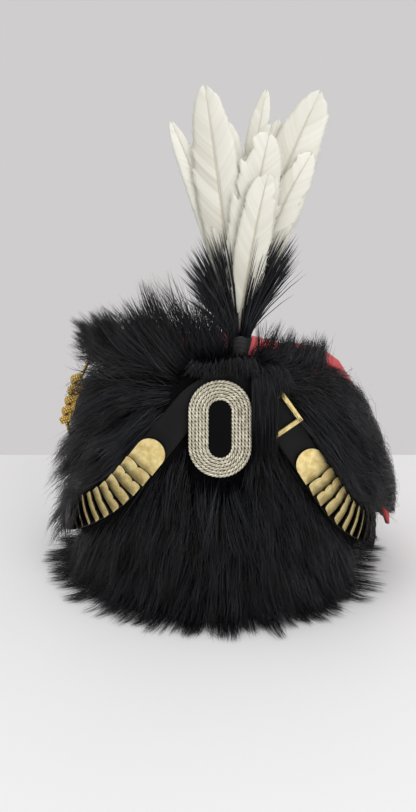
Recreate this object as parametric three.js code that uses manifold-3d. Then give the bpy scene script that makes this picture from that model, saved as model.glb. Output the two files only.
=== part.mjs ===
// A parade busby: a stiff oval crown wrapped in long black fur, with a red cloth bag over the
// top and one side, a corded cockade, a plume, a plaited side cord and a scaled chin strap that
// is pulled up over the front.
// Millimetres, +Z up. The front faces -Y and +X is the viewer's right. The origin is on the
// floor, under the middle of the hat.
import * as THREE from "three";
import { mergeVertices } from "three/addons/utils/BufferGeometryUtils.js";
import Module from "manifold-3d";

const wasm = await Module();
wasm.setup();
const { degToRad, radToDeg, lerp, smoothstep } = THREE.MathUtils;

// Fits
const GAP = 0.4; // between pieces that rest on each other
const MERGE = 1e-3; // points closer than this are one point

// Crown: halves are to the outside of the wall
const CROWN_HEIGHT = 166;
const CROWN_WALL = 3;
const CROWN_SIDES = 32;
const TOP_FALL = 5; // how far the top drops at the viewer's right, and rises at the left
const CROWN_SECTIONS = [
  { height: 0, halfWidth: 88, halfDepth: 101 },
  { height: 60, halfWidth: 88, halfDepth: 100 },
  { height: 120, halfWidth: 84, halfDepth: 96 },
  { height: CROWN_HEIGHT, halfWidth: 80, halfDepth: 91 },
];

// Fur: the coat's depth is measured outwards from the crown's wall
const COAT_SECTIONS = [
  { height: 6, depth: 24 },
  { height: 30, depth: 28 },
  { height: 110, depth: 26 },
  { height: 162, depth: 18 },
  { height: 174, depth: 7 },
];
const COAT_STAND_OFF = 0.7;
const LOCK_ROWS = [
  { rootHeight: 156, tipHeight: 190, reach: 24, sweep: 2, count: 11, width: 38, thickness: 20 },
  { rootHeight: 150, tipHeight: 138, reach: 38, sweep: 9, count: 11, width: 42, thickness: 22 },
  { rootHeight: 122, tipHeight: 88, reach: 43, sweep: 9, count: 11, width: 46, thickness: 24 },
  { rootHeight: 92, tipHeight: 48, reach: 52, sweep: 6, count: 12, width: 48, thickness: 26 },
  { rootHeight: 60, tipHeight: 22, reach: 48, sweep: 3, count: 12, width: 48, thickness: 26 },
  { rootHeight: 17, tipHeight: 2.5, reach: 43, sweep: 0, count: 13, width: 46, thickness: 12 },
];
const LOCK_STATIONS = [
  { along: 0, width: 1, thickness: 1 },
  { along: 0.5, width: 0.92, thickness: 0.9 },
  { along: 0.8, width: 0.5, thickness: 0.55 },
];
const LOCK_ROOT = 0.55; // share of the coat's depth at which a lock is rooted
const LOCK_BEND = 0.9; // share of the reach at the lock's shoulder
const LOCK_SHOULDER = 0.4; // share of the way down at the lock's shoulder
const LOCK_UNEVEN = { reach: 3, height: 5, angle: 3 };
const LOCK_FRONT_REACH = 0.86; // the fur stands out less at the front and the back than at the sides
const LOCK_RIGHT_REACH = 1.22; // and furthest on the viewer's right, beside and below the bag

// Bag: the cloth's top dome, then the sections of its fall down the viewer's right side
const BAG_CLOTH = 2;
const BAG_PUFF = 11;
const BAG_INSET = 0.5;
const BAG_SIDES = 24;
const BAG_RINGS = [1, 0.8, 0.4];
const BAG_GATHERS = 12;
const BAG_GATHER_HEIGHT = 1.4;
const BAG_SIDE_ANGLE = 88;
const BAG_FALL = [
  { height: 168, out: -9, halfAngle: 44 },
  { height: 171, out: 3, halfAngle: 44 },
  { height: 163, out: 13, halfAngle: 43 },
  { height: 142, out: 24, halfAngle: 40 },
  { height: 112, out: 36, halfAngle: 35 },
  { height: 84, out: 41, halfAngle: 30 },
  { height: 62, out: 44, halfAngle: 25 },
  { height: 48, out: 46, halfAngle: 20 },
  { height: 37, out: 47, halfAngle: 12 },
  { height: 31, out: 47, halfAngle: 4 },
];
const BAG_STEPS_ACROSS = 5;
const BAG_EDGE_ROOM = 1.5; // degrees of clear fur beside the bag's edges

// Chin strap: its course runs from the apex over the cockade, round both sides, to the back. It lies on
// compressed fur, and hangs lower on the viewer's right.
const STRAP_WIDTH = 20;
const STRAP_THICKNESS = 2.2;
const STRAP_APEX_ANGLE = 4;
const STRAP_STATIONS = 64;
const STRAP_GROOVE = 27;
const GROOVE_DEPTH = 70;
const BACK_GROOVE = { depth: 20, from: 96, to: 118 }; // where longer fur hangs over the strap, in degrees
const STRAP_COURSE = [
  { angle: 0, left: 158, right: 158, out: 12 },
  { angle: 12, left: 150, right: 149, out: 14 },
  { angle: 25, left: 121, right: 114, out: 21 },
  { angle: 40, left: 84, right: 68, out: 28 },
  { angle: 55, left: 63, right: 47, out: 30 },
  { angle: 72, left: 48, right: 38, out: 27 },
  { angle: 90, left: 40, right: 35, out: 20 },
  { angle: 112, left: 35, right: 33, out: 14 },
  { angle: 135, left: 33, right: 33, out: 12 },
  { angle: 158, left: 33, right: 33, out: 12 },
  { angle: 180, left: 33, right: 33, out: 12 },
];

// Brass scales and buckle, placed by their distance along the strap from its apex
const SCALE_COUNT = 12;
const SCALE_WIDTH = 20.5;
const SCALE_LENGTH = 12.5;
const SCALE_PITCH = 9;
const SCALE_THICKNESS = 0.9;
const SCALE_LOBE = 2.4; // how far a lobe stands out from the scale's straight edge
const SCALE_TILT = degToRad(13);
const PLATE_START = { left: 61, right: 66 };
const PLATE_LENGTH = 21;
const BUCKLE_AT = 37;
const BUCKLE_OUTER = 24;
const BUCKLE_BAR = 3;
const BUCKLE_THICKNESS = 2.4;
const BUCKLE_LIFT = 0.8; // the flat frame's room over the bent strap

// Cockade: rows of cord laid round a straight core with round ends
const COCKADE_HEIGHT = 129.7;
const COCKADE_STAND_OFF = 15.4;
const COCKADE_TILT = degToRad(5);
const COCKADE_CORE = 22.4;
const COCKADE_HOLE_RADIUS = 7.2;
const CORD_ROWS = 6;
const CORD_PITCH = 2.17;
const CORD_VALLEY = 1.5;
const CORD_CREST = 2.6;
const CORD_ARC_STEPS = 6;
const BOARD_THICKNESS = 2;
const BOARD_INSET = 1;
const BOARD_MIDDLE = 4.2;

// Plume: a bound neck on a stem in front of the crown, hair round white feathers
const PLUME = { x: 11.3, y: -97, neckFoot: 173, neckTop: 188 };
const PLUME_SIDES = 12;
const PLUME_PROFILE = [
  { radius: 2.6, height: 138 },
  { radius: 2.6, height: 170 },
  { radius: 4.6, height: 173 },
  { radius: 7.2, height: 182 },
  { radius: 8, height: 186 },
  { radius: 7, height: 188 },
];
const QUILL_RADIUS = 3.2;
const QUILL_TOP = 212;
const FEATHER_ROOT = 190;
const FEATHER_THICKNESS = 1.3;
const FEATHER_STATIONS = [
  { along: 0, width: 0.12 },
  { along: 0.22, width: 0.4 },
  { along: 0.48, width: 0.86 },
  { along: 0.74, width: 1 },
  { along: 0.92, width: 0.72 },
  { along: 1, width: 0.2 },
];
// tips: sideways and forwards of the plume's neck, and height; bow: sideways bend at mid length
const FEATHERS = [
  { tipX: -43, tipY: 3, tipHeight: 319, width: 15, bow: 3 },
  { tipX: -29, tipY: 8, tipHeight: 312, width: 13, bow: 2 },
  { tipX: -22, tipY: -4, tipHeight: 338, width: 27, bow: -3 },
  { tipX: -8, tipY: 1, tipHeight: 318, width: 22, bow: -2 },
  { tipX: 16, tipY: 9, tipHeight: 338, width: 13, bow: -5 },
  { tipX: 24, tipY: 11, tipHeight: 321, width: 20, bow: -4 },
  { tipX: 49, tipY: 6, tipHeight: 337, width: 31, bow: -5 },
  { tipX: 44, tipY: 1, tipHeight: 300, width: 24, bow: -5 },
  { tipX: 17, tipY: -7, tipHeight: 310, width: 28, bow: -3 },
  { tipX: 16, tipY: -13, tipHeight: 286, width: 20, bow: -1 },
];
const HAIR_LOCKS = 8;
const HAIR_ROOT_RADIUS = 6;
const HAIR_HEAD = [
  { radius: 6.4, height: 188.4 },
  { radius: 8.5, height: 200 },
  { radius: 11, height: 212 },
];
const HAIR_REACH = { side: 37, front: 20 };
const HAIR_TIP_HEIGHT = 240;
const HAIR_UNEVEN = { height: 9, reach: 5 };
const HAIR_LOCK_WIDTH = 8;

// Side plait: three strands of gold cord on the fur at the viewer's left
const PLAIT_LENGTH = 40;
const PLAIT_SWING = 6.6;
const PLAIT_LIFT = 2.4;
const PLAIT_STRAND = 3.1; // a strand's radius
const PLAIT_TURNS = 1.5;
const PLAIT_STEPS = 9;
const PLAIT_ANGLE = -91;
const PLAIT_ENDS = [
  { height: 104, out: 36 },
  { height: 143, out: 26 },
];
const PLAIT_CORD_RADIUS = 1.7;
const PLAIT_CORD_UP = [
  { angle: -91, height: 143, out: 26 },
  { angle: -90, height: 156, out: 20 },
  { angle: -88, height: 170, out: 9 },
  { angle: -86, height: 175, out: 1 },
];
const PLAIT_CORD_DOWN = [
  { angle: -91, height: 104, out: 36 },
  { angle: -95, height: 92, out: 34 },
  { angle: -101, height: 82, out: 26 },
  { angle: -106, height: 78, out: 20 },
];

// Colours and finishes
const MATERIALS = {
  crown: { color: 0x1a1917, roughness: 0.85, metalness: 0 },
  fur: { color: 0x0d0d0f, roughness: 0.7, metalness: 0 },
  bag: { color: 0xa8191c, roughness: 0.9, metalness: 0 },
  leather: { color: 0x1b1b1c, roughness: 0.5, metalness: 0 },
  brass: { color: 0xd8bf73, roughness: 0.35, metalness: 1 },
  silver: { color: 0xcfc9b4, roughness: 0.45, metalness: 0.6 },
  velvet: { color: 0x0c0c0e, roughness: 0.95, metalness: 0 },
  feather: { color: 0xefeee2, roughness: 0.8, metalness: 0 },
  hair: { color: 0x0c0c0d, roughness: 0.5, metalness: 0 },
  binding: { color: 0x101011, roughness: 0.6, metalness: 0 },
  gold: { color: 0xc99a2e, roughness: 0.4, metalness: 0.7 },
};

// A named column of a table, read between its rows by straight lines.
function readTable(table, key, column, at) {
  const rising = table[0][key] <= table[table.length - 1][key];
  const rows = rising ? table : [...table].reverse();
  if (at <= rows[0][key]) return rows[0][column];
  for (let i = 1; i < rows.length; i++) {
    const [low, high] = [rows[i - 1], rows[i]];
    if (at > high[key]) continue;
    return lerp(low[column], high[column], (at - low[key]) / (high[key] - low[key]));
  }
  return rows[rows.length - 1][column];
}

// The direction straight out of the crown's oval. Angles are in degrees from the front towards
// the viewer's right.
function outward(angle, height) {
  const a = degToRad(angle);
  const halfWidth = readTable(CROWN_SECTIONS, "height", "halfWidth", height);
  const halfDepth = readTable(CROWN_SECTIONS, "height", "halfDepth", height);
  return new THREE.Vector3(Math.sin(a) / halfWidth, -Math.cos(a) / halfDepth, 0).normalize();
}

// A point at a distance outside the crown's wall.
function skin(angle, height, out) {
  const a = degToRad(angle);
  const halfWidth = readTable(CROWN_SECTIONS, "height", "halfWidth", height);
  const halfDepth = readTable(CROWN_SECTIONS, "height", "halfDepth", height);
  const fall = TOP_FALL * Math.sin(a) * Math.min(1.2, Math.max(0, height / CROWN_HEIGHT)) ** 2;
  return new THREE.Vector3(halfWidth * Math.sin(a), -halfDepth * Math.cos(a), height - fall).addScaledVector(
    outward(angle, height),
    out,
  );
}

// A repeatable uneven number from -1 to 1 for each whole number.
function uneven(index, kind = 0) {
  const wave = Math.sin(index * 12.9898 + kind * 78.233) * 43758.5453;
  return 2 * (wave - Math.floor(wave)) - 1;
}

function meshFrom(points, triangles) {
  const geometry = new THREE.BufferGeometry();
  geometry.setAttribute("position", new THREE.Float32BufferAttribute(points.flatMap((p) => p.toArray()), 3));
  let volume = 0;
  const corner = new THREE.Vector3();
  triangles.forEach(([a, b, c]) => (volume += points[a].dot(corner.crossVectors(points[b], points[c]))));
  geometry.setIndex(triangles.flatMap(([a, b, c]) => (volume < 0 ? [a, c, b] : [a, b, c])));
  return geometry;
}

// A closed mesh through rings of points, all of one length. The ends are closed by fans, or the
// last ring meets the first where the rings are joined into a loop.
function loft(rings, joined = false) {
  const n = rings[0].length;
  const points = rings.flat();
  const triangles = [];
  const bands = joined ? rings.length : rings.length - 1;
  for (let r = 0; r < bands; r++) {
    const next = ((r + 1) % rings.length) * n;
    for (let i = 0; i < n; i++) {
      const j = (i + 1) % n;
      triangles.push([r * n + i, r * n + j, next + i], [r * n + j, next + j, next + i]);
    }
  }
  if (!joined) {
    const last = points.length - n;
    for (let i = 1; i < n - 1; i++) triangles.push([0, i + 1, i], [last, last + i, last + i + 1]);
  }
  return meshFrom(points, triangles);
}

// A spike: rings of points that end in a single tip.
function spike(rings, tip) {
  const n = rings[0].length;
  const points = [...rings.flat(), tip];
  const triangles = [];
  for (let r = 0; r < rings.length - 1; r++) {
    for (let i = 0; i < n; i++) {
      const j = (i + 1) % n;
      triangles.push([r * n + i, r * n + j, (r + 1) * n + i], [r * n + j, (r + 1) * n + j, (r + 1) * n + i]);
    }
  }
  const last = (rings.length - 1) * n;
  for (let i = 0; i < n; i++) triangles.push([last + i, last + ((i + 1) % n), points.length - 1]);
  for (let i = 1; i < n - 1; i++) triangles.push([0, i + 1, i]);
  return meshFrom(points, triangles);
}

// A sheet with thickness: a grid of points is set off inwards and outwards along its normals.
function thickSheet(grid, inwards, outwards) {
  const rows = grid.length;
  const columns = grid[0].length;
  const normals = grid.map((row, i) =>
    row.map((_, j) => {
      const along = grid[Math.min(i + 1, rows - 1)][j].clone().sub(grid[Math.max(i - 1, 0)][j]);
      const across = row[Math.min(j + 1, columns - 1)].clone().sub(row[Math.max(j - 1, 0)]);
      return along.cross(across).normalize();
    }),
  );
  const ringOf = (row, i) => [
    ...row.map((p, j) => p.clone().addScaledVector(normals[i][j], outwards)),
    ...row.map((p, j) => p.clone().addScaledVector(normals[i][j], -inwards)).reverse(),
  ];
  return sheetFrom(grid.map(ringOf), columns);
}

// Closes rings that run out along a sheet's face and back along its other face.
function sheetFrom(rings, columns) {
  const n = 2 * columns;
  const points = rings.flat();
  const triangles = [];
  for (let r = 0; r < rings.length - 1; r++) {
    for (let i = 0; i < n; i++) {
      const j = (i + 1) % n;
      triangles.push([r * n + i, r * n + j, (r + 1) * n + i], [r * n + j, (r + 1) * n + j, (r + 1) * n + i]);
    }
  }
  const last = (rings.length - 1) * n;
  for (let i = 0; i < columns - 1; i++) {
    const k = n - 1 - i;
    triangles.push([i, k, i + 1], [i + 1, k, k - 1]);
    triangles.push([last + i, last + i + 1, last + k], [last + i + 1, last + k - 1, last + k]);
  }
  return meshFrom(points, triangles);
}

function solidOf(geometry) {
  const bare = new THREE.BufferGeometry();
  bare.setAttribute("position", geometry.getAttribute("position"));
  bare.setIndex(geometry.index);
  const merged = mergeVertices(bare, MERGE);
  return new wasm.Manifold(
    new wasm.Mesh({
      numProp: 3,
      vertProperties: new Float32Array(merged.attributes.position.array),
      triVerts: new Uint32Array(merged.index.array),
    }),
  );
}

function geometryOf(solid) {
  const mesh = solid.getMesh();
  const geometry = new THREE.BufferGeometry();
  const places = new Float32Array(mesh.numVert * 3);
  for (let i = 0; i < mesh.numVert; i++) {
    places.set(mesh.vertProperties.subarray(i * mesh.numProp, i * mesh.numProp + 3), i * 3);
  }
  geometry.setAttribute("position", new THREE.BufferAttribute(places, 3));
  geometry.setIndex(new THREE.BufferAttribute(new Uint32Array(mesh.triVerts), 1));
  return geometry;
}

const joinAll = (solids) => wasm.Manifold.union(solids);

// The largest body of a solid, with any sealed pocket in it filled.
function mainBody(solid) {
  return solid.decompose().reduce((best, body) => (body.volume() > best.volume() ? body : best));
}

const busby = new THREE.Group();
busby.name = "busby";

function addPiece(name, geometry, finish) {
  const drawn = geometry.index ? geometry.toNonIndexed() : geometry;
  drawn.deleteAttribute("normal");
  drawn.computeVertexNormals();
  const mesh = new THREE.Mesh(drawn, new THREE.MeshStandardMaterial(MATERIALS[finish]));
  mesh.name = name;
  busby.add(mesh);
  return mesh;
}

const anglesRound = (count) => Array.from({ length: count }, (_, i) => (360 * i) / count);

// Crown: the ceiling inside, down the inner wall, under the rim and up the outer wall to the top.
function crownGeometry() {
  const angles = anglesRound(CROWN_SIDES);
  const ringAt = (height, out) => angles.map((angle) => skin(angle, height, out));
  const ceiling = CROWN_HEIGHT - CROWN_WALL;
  const inner = [{ height: ceiling }, ...CROWN_SECTIONS.slice(0, -1).reverse()];
  const rings = [
    ...inner.map((section) => ringAt(section.height, -CROWN_WALL)),
    ...CROWN_SECTIONS.map((section) => ringAt(section.height, 0)),
  ];
  return loft(rings);
}

// Bag: a puffed, gathered dome over the crown's top.
function bagTop() {
  const angles = anglesRound(BAG_SIDES);
  const middle = new THREE.Vector3(0, 0, CROWN_HEIGHT);
  const ringAt = (share, lift) =>
    angles.map((angle) => {
      const rim = skin(angle, CROWN_HEIGHT, -BAG_INSET);
      const gather = BAG_GATHER_HEIGHT * share * (1 - share) * 4 * Math.cos(degToRad(BAG_GATHERS * angle));
      const height = GAP + BAG_PUFF * (1 - share ** 2) + Math.abs(gather) + lift;
      return middle.clone().lerp(rim, share).add(new THREE.Vector3(0, 0, height));
    });
  const under = [...BAG_RINGS].reverse().map((share) => ringAt(share, 0));
  const over = BAG_RINGS.map((share) => ringAt(share, BAG_CLOTH));
  return loft([...under, ...over]);
}

function bagFallGrid(extraAngle) {
  return BAG_FALL.map((section) =>
    Array.from({ length: BAG_STEPS_ACROSS + 1 }, (_, j) => {
      const share = (2 * j) / BAG_STEPS_ACROSS - 1;
      const angle = BAG_SIDE_ANGLE + share * (section.halfAngle + extraAngle);
      return skin(angle, section.height, section.out);
    }),
  );
}

const bagFall = () => thickSheet(bagFallGrid(0), 0, BAG_CLOTH);
const bagRoom = () => thickSheet(bagFallGrid(BAG_EDGE_ROOM), GAP, GROOVE_DEPTH);

// Strap: the course of its inner face and a frame at any distance from the apex.
const strapCourse = (() => {
  const side = (sign, height) =>
    STRAP_COURSE.map((row) => skin(STRAP_APEX_ANGLE + sign * row.angle, row[height], row.out));
  const right = side(1, "right");
  const left = side(-1, "left").slice(1, -1).reverse();
  const curve = new THREE.CatmullRomCurve3([...right, ...left], true, "centripetal");
  curve.arcLengthDivisions = 800;
  return curve;
})();
const STRAP_LENGTH = strapCourse.getLength();

// distance is counted from the apex, towards the viewer's right when positive.
function strapFrame(distance) {
  const share = THREE.MathUtils.euclideanModulo(distance / STRAP_LENGTH, 1);
  const point = strapCourse.getPointAt(share);
  const along = strapCourse.getTangentAt(share);
  const { halfWidth, halfDepth } = CROWN_SECTIONS[1];
  const angle = radToDeg(Math.atan2(point.x / halfWidth, -point.y / halfDepth));
  const out = new THREE.Vector3(along.y, -along.x, 0).normalize();
  const across = new THREE.Vector3().crossVectors(out, along).normalize();
  out.crossVectors(along, across).normalize();
  return { point, along, across, out, angle };
}

function strapBand(width, from, to) {
  const rings = Array.from({ length: STRAP_STATIONS }, (_, i) => {
    const { point, across, out, angle } = strapFrame((STRAP_LENGTH * i) / STRAP_STATIONS);
    const corner = (side, lift) =>
      point
        .clone()
        .addScaledVector(across, (side * width) / 2)
        .addScaledVector(out, lift);
    const top = to(Math.abs(angle));
    return [corner(-1, from), corner(1, from), corner(1, top), corner(-1, top)];
  });
  return loft(rings, true);
}

// A scale: straight at its root and lobed at its free edge, which points to the strap's apex.
function scaleShape(lobes) {
  const half = SCALE_WIDTH / 2;
  const edge = SCALE_LENGTH - SCALE_LOBE;
  const lobe = SCALE_WIDTH / lobes;
  const shape = new THREE.Shape();
  shape.moveTo(-half, 0);
  shape.lineTo(half, 0);
  shape.lineTo(half, edge);
  for (let i = 0; i < lobes; i++) {
    const right = half - i * lobe;
    const crest = SCALE_LENGTH + 0.8;
    shape.bezierCurveTo(right - 0.05 * lobe, crest, right - 0.95 * lobe, crest, right - lobe, edge);
  }
  shape.lineTo(-half, 0);
  return shape;
}

// The end plate: straight at its root, with a round end.
function plateShape() {
  const half = SCALE_WIDTH / 2;
  const shape = new THREE.Shape();
  shape.moveTo(-half, 0);
  shape.lineTo(half, 0);
  shape.lineTo(half, PLATE_LENGTH - half);
  shape.absarc(0, PLATE_LENGTH - half, half, 0, Math.PI);
  shape.lineTo(-half, 0);
  return shape;
}

function buckleShape() {
  const outer = BUCKLE_OUTER / 2;
  const inner = outer - BUCKLE_BAR;
  const square = (path, half) => {
    path.moveTo(-half, -half);
    path.lineTo(half, -half);
    path.lineTo(half, half);
    path.lineTo(-half, half);
    path.lineTo(-half, -half);
    return path;
  };
  const shape = square(new THREE.Shape(), outer);
  shape.holes.push(square(new THREE.Path(), inner));
  return shape;
}

// Lays a flat plate on the strap. side is 1 for the viewer's right and -1 for the left, and the
// plate's own +Y points to the apex.
function layOnStrap(mesh, distance, side, tilt, lift = GAP) {
  const { point, along, out } = strapFrame(side * distance);
  const toApex = along.clone().multiplyScalar(-side);
  const up = toApex.clone().multiplyScalar(Math.cos(tilt)).addScaledVector(out, Math.sin(tilt));
  const face = out.clone().multiplyScalar(Math.cos(tilt)).addScaledVector(toApex, -Math.sin(tilt));
  const across = new THREE.Vector3().crossVectors(up, face);
  mesh.quaternion.setFromRotationMatrix(new THREE.Matrix4().makeBasis(across, up, face));
  mesh.position.copy(point).addScaledVector(out, STRAP_THICKNESS + lift);
}

const plate = (shape, thickness) =>
  new THREE.ExtrudeGeometry(shape, { depth: thickness, bevelEnabled: false, curveSegments: 3 });

// Cockade: a point on a row round the straight core, with its outline normal.
function coreOutline(radius, arcSteps) {
  const half = COCKADE_CORE / 2;
  const ends = [half, -half];
  return ends.flatMap((centre, end) =>
    Array.from({ length: arcSteps + 1 }, (_, i) => {
      const a = Math.PI * (end + i / arcSteps);
      return new THREE.Vector2(radius * Math.cos(a), centre + radius * Math.sin(a));
    }),
  );
}

function cordRing() {
  const top = [];
  for (let row = 0; row < CORD_ROWS; row++) {
    const from = COCKADE_HOLE_RADIUS + row * CORD_PITCH;
    top.push({ radius: from + 0.12 * CORD_PITCH, lift: CORD_VALLEY });
    top.push({ radius: from + 0.5 * CORD_PITCH, lift: CORD_CREST });
  }
  const outer = COCKADE_HOLE_RADIUS + CORD_ROWS * CORD_PITCH;
  const profile = [
    { radius: COCKADE_HOLE_RADIUS, lift: 0 },
    ...top,
    { radius: outer, lift: CORD_VALLEY },
    { radius: outer - 0.3, lift: 0 },
  ];
  const lines = profile.map(({ radius, lift }) =>
    coreOutline(radius, CORD_ARC_STEPS).map((p) => new THREE.Vector3(p.x, p.y, lift)),
  );
  const rings = lines[0].map((_, i) => lines.map((line) => line[i]));
  return loft(rings, true);
}

function cockadeBoard() {
  const outer = COCKADE_HOLE_RADIUS + CORD_ROWS * CORD_PITCH - BOARD_INSET;
  const back = plate(new THREE.Shape(coreOutline(outer, CORD_ARC_STEPS)), BOARD_THICKNESS);
  const middle = plate(new THREE.Shape(coreOutline(COCKADE_HOLE_RADIUS - GAP, CORD_ARC_STEPS)), BOARD_MIDDLE);
  return geometryOf(solidOf(back).add(solidOf(middle)));
}

// The cockade's own frame: +Z out of the hat's front, +Y up its face.
function placeOnFront(object) {
  const halfDepth = readTable(CROWN_SECTIONS, "height", "halfDepth", COCKADE_HEIGHT);
  object.position.set(-1, -(halfDepth + COCKADE_STAND_OFF), COCKADE_HEIGHT);
  object.rotation.set(Math.PI / 2 - COCKADE_TILT, 0, 0);
}

// Plume: the bound neck and stem, turned round the plume's own axis.
function turned(profile, sides) {
  const points = [
    new THREE.Vector2(0, profile[0].height),
    ...profile.map((row) => new THREE.Vector2(row.radius, row.height)),
    new THREE.Vector2(0, profile[profile.length - 1].height),
  ];
  const geometry = new THREE.LatheGeometry(points, sides);
  geometry.rotateX(Math.PI / 2);
  geometry.translate(PLUME.x, PLUME.y, 0);
  return geometry;
}

// A feather: flat lens sections along a bowed shaft, from the quill to a blunt tip.
function feather(row, grow) {
  const root = new THREE.Vector3(PLUME.x + 0.03 * row.tipX, PLUME.y + 0.1 * row.tipY, FEATHER_ROOT);
  const tip = new THREE.Vector3(PLUME.x + row.tipX, PLUME.y + row.tipY, row.tipHeight);
  const bend = root.clone().lerp(tip, 0.5).add(new THREE.Vector3(row.bow - 0.12 * row.tipX, 0.5 * row.tipY, 6));
  const shaft = new THREE.QuadraticBezierCurve3(root, bend, tip);
  const front = new THREE.Vector3(0, -1, 0);
  const rings = FEATHER_STATIONS.map(({ along, width }) => {
    const at = shaft.getPoint(along);
    const side = new THREE.Vector3().crossVectors(front, shaft.getTangent(along)).normalize();
    const half = (row.width * width) / 2 + grow;
    const thick = FEATHER_THICKNESS / 2 + grow;
    return [
      at.clone().addScaledVector(side, half),
      at.clone().addScaledVector(front, thick),
      at.clone().addScaledVector(side, -half),
      at.clone().addScaledVector(front, -thick),
    ];
  });
  return loft(rings);
}

function featherBunch(grow) {
  const quill = turned(
    [
      { radius: QUILL_RADIUS + grow, height: PLUME.neckTop + GAP - grow },
      { radius: QUILL_RADIUS + 0.8 + grow, height: QUILL_TOP },
    ],
    PLUME_SIDES,
  );
  return joinAll([solidOf(quill), ...FEATHERS.map((row) => solidOf(feather(row, grow)))]);
}

// The hair tuft: pointed locks that stand out of a flared head.
function hairTuft() {
  const head = solidOf(turned(HAIR_HEAD, PLUME_SIDES));
  const axis = new THREE.Vector3(0, 0, 1);
  const locks = Array.from({ length: HAIR_LOCKS }, (_, i) => {
    const a = (2 * Math.PI * (i + 0.5)) / HAIR_LOCKS;
    const round = new THREE.Vector3(Math.cos(a), Math.sin(a), 0);
    const at = (reachX, reachY, height) =>
      new THREE.Vector3(PLUME.x + reachX * round.x, PLUME.y + reachY * round.y, height);
    const longer = HAIR_UNEVEN.reach * uneven(i, 1);
    const root = at(HAIR_ROOT_RADIUS, HAIR_ROOT_RADIUS, 194);
    const bend = at(0.42 * HAIR_REACH.side, 0.6 * HAIR_REACH.front, 222);
    const tipHeight = HAIR_TIP_HEIGHT + HAIR_UNEVEN.height * uneven(i, 2);
    const tip = at(HAIR_REACH.side + longer, HAIR_REACH.front, tipHeight);
    const curve = new THREE.QuadraticBezierCurve3(root, bend, tip);
    const side = new THREE.Vector3().crossVectors(axis, round);
    const rings = [0, 0.5].map((along) => {
      const p = curve.getPoint(along);
      const out = new THREE.Vector3().crossVectors(curve.getTangent(along), side).normalize();
      const half = (HAIR_LOCK_WIDTH / 2) * (1 - 0.35 * along);
      return [
        p.clone().addScaledVector(side, half),
        p.clone().addScaledVector(out, half * 0.6),
        p.clone().addScaledVector(side, -half),
        p.clone().addScaledVector(out, -half * 0.6),
      ];
    });
    return solidOf(spike(rings, tip));
  });
  return joinAll([head, ...locks]);
}

// Side plait: strands that swing from side to side and over each other as they go down.
const plaitPoint = (row) => skin(row.angle ?? PLAIT_ANGLE, row.height, row.out);

function roundTube(curve, radius, steps) {
  const section = new THREE.Shape(
    Array.from({ length: 5 }, (_, i) => {
      const turn = (2 * i * Math.PI) / 5;
      return new THREE.Vector2(Math.cos(turn), Math.sin(turn)).multiplyScalar(radius);
    }),
  );
  return new THREE.ExtrudeGeometry(section, { steps, extrudePath: curve, bevelEnabled: false });
}

function sidePlait(grow) {
  const [low, high] = PLAIT_ENDS.map(plaitPoint);
  const down = low.clone().sub(high).normalize();
  const out = outward(PLAIT_ANGLE, PLAIT_ENDS[0].height);
  const side = new THREE.Vector3().crossVectors(out, down).normalize();
  out.crossVectors(down, side);
  const middle = low.clone().lerp(high, 0.5);
  const strands = [0, 1, 2].map((strand) => {
    const points = Array.from({ length: PLAIT_STEPS + 1 }, (_, i) => {
      const share = i / PLAIT_STEPS;
      const turn = 2 * Math.PI * (PLAIT_TURNS * share + strand / 3);
      return middle
        .clone()
        .addScaledVector(down, (PLAIT_LENGTH + 2 * grow) * (share - 0.5))
        .addScaledVector(side, PLAIT_SWING * Math.sin(turn))
        .addScaledVector(out, PLAIT_LIFT * Math.sin(2 * turn));
    });
    return solidOf(roundTube(new THREE.CatmullRomCurve3(points), PLAIT_STRAND + grow, PLAIT_STEPS));
  });
  const cords = [PLAIT_CORD_UP, PLAIT_CORD_DOWN].map((route) => {
    const points = route.map(plaitPoint);
    const end = points[points.length - 1];
    end.add(end.clone().sub(points[points.length - 2]).setLength(grow + 1e-6));
    return solidOf(roundTube(new THREE.CatmullRomCurve3(points), PLAIT_CORD_RADIUS + grow, 8));
  });
  return joinAll([...strands, ...cords]);
}

// The room that the plait and its cords press into the fur.
function plaitRoom() {
  const upper = PLAIT_CORD_UP.slice(1).reverse();
  const route = [...upper, ...PLAIT_ENDS.slice().reverse(), ...PLAIT_CORD_DOWN.slice(1)];
  const width = (i) => {
    const isPlaited = i >= upper.length - 1 && i <= upper.length + 2;
    return isPlaited ? PLAIT_SWING + PLAIT_STRAND + 1 : PLAIT_CORD_RADIUS + 1;
  };
  const grid = route.map((row, i) => {
    const point = plaitPoint(row);
    const side = new THREE.Vector3(0, 1, 0);
    return [1, -1].map((sign) => point.clone().addScaledVector(side, sign * width(i)));
  });
  return thickSheet(grid, PLAIT_STRAND, GROOVE_DEPTH);
}

// Fur: a dense coat round the crown with pointed locks standing out of it.
function furCoat() {
  const angles = anglesRound(CROWN_SIDES);
  const ringAt = (height, out) => angles.map((angle) => skin(angle, height, out));
  const outer = COAT_SECTIONS.map((section) => ringAt(section.height, section.depth));
  const inner = [...COAT_SECTIONS].reverse().map((section) => ringAt(section.height, COAT_STAND_OFF));
  return loft([...outer, ...inner], true);
}

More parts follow.
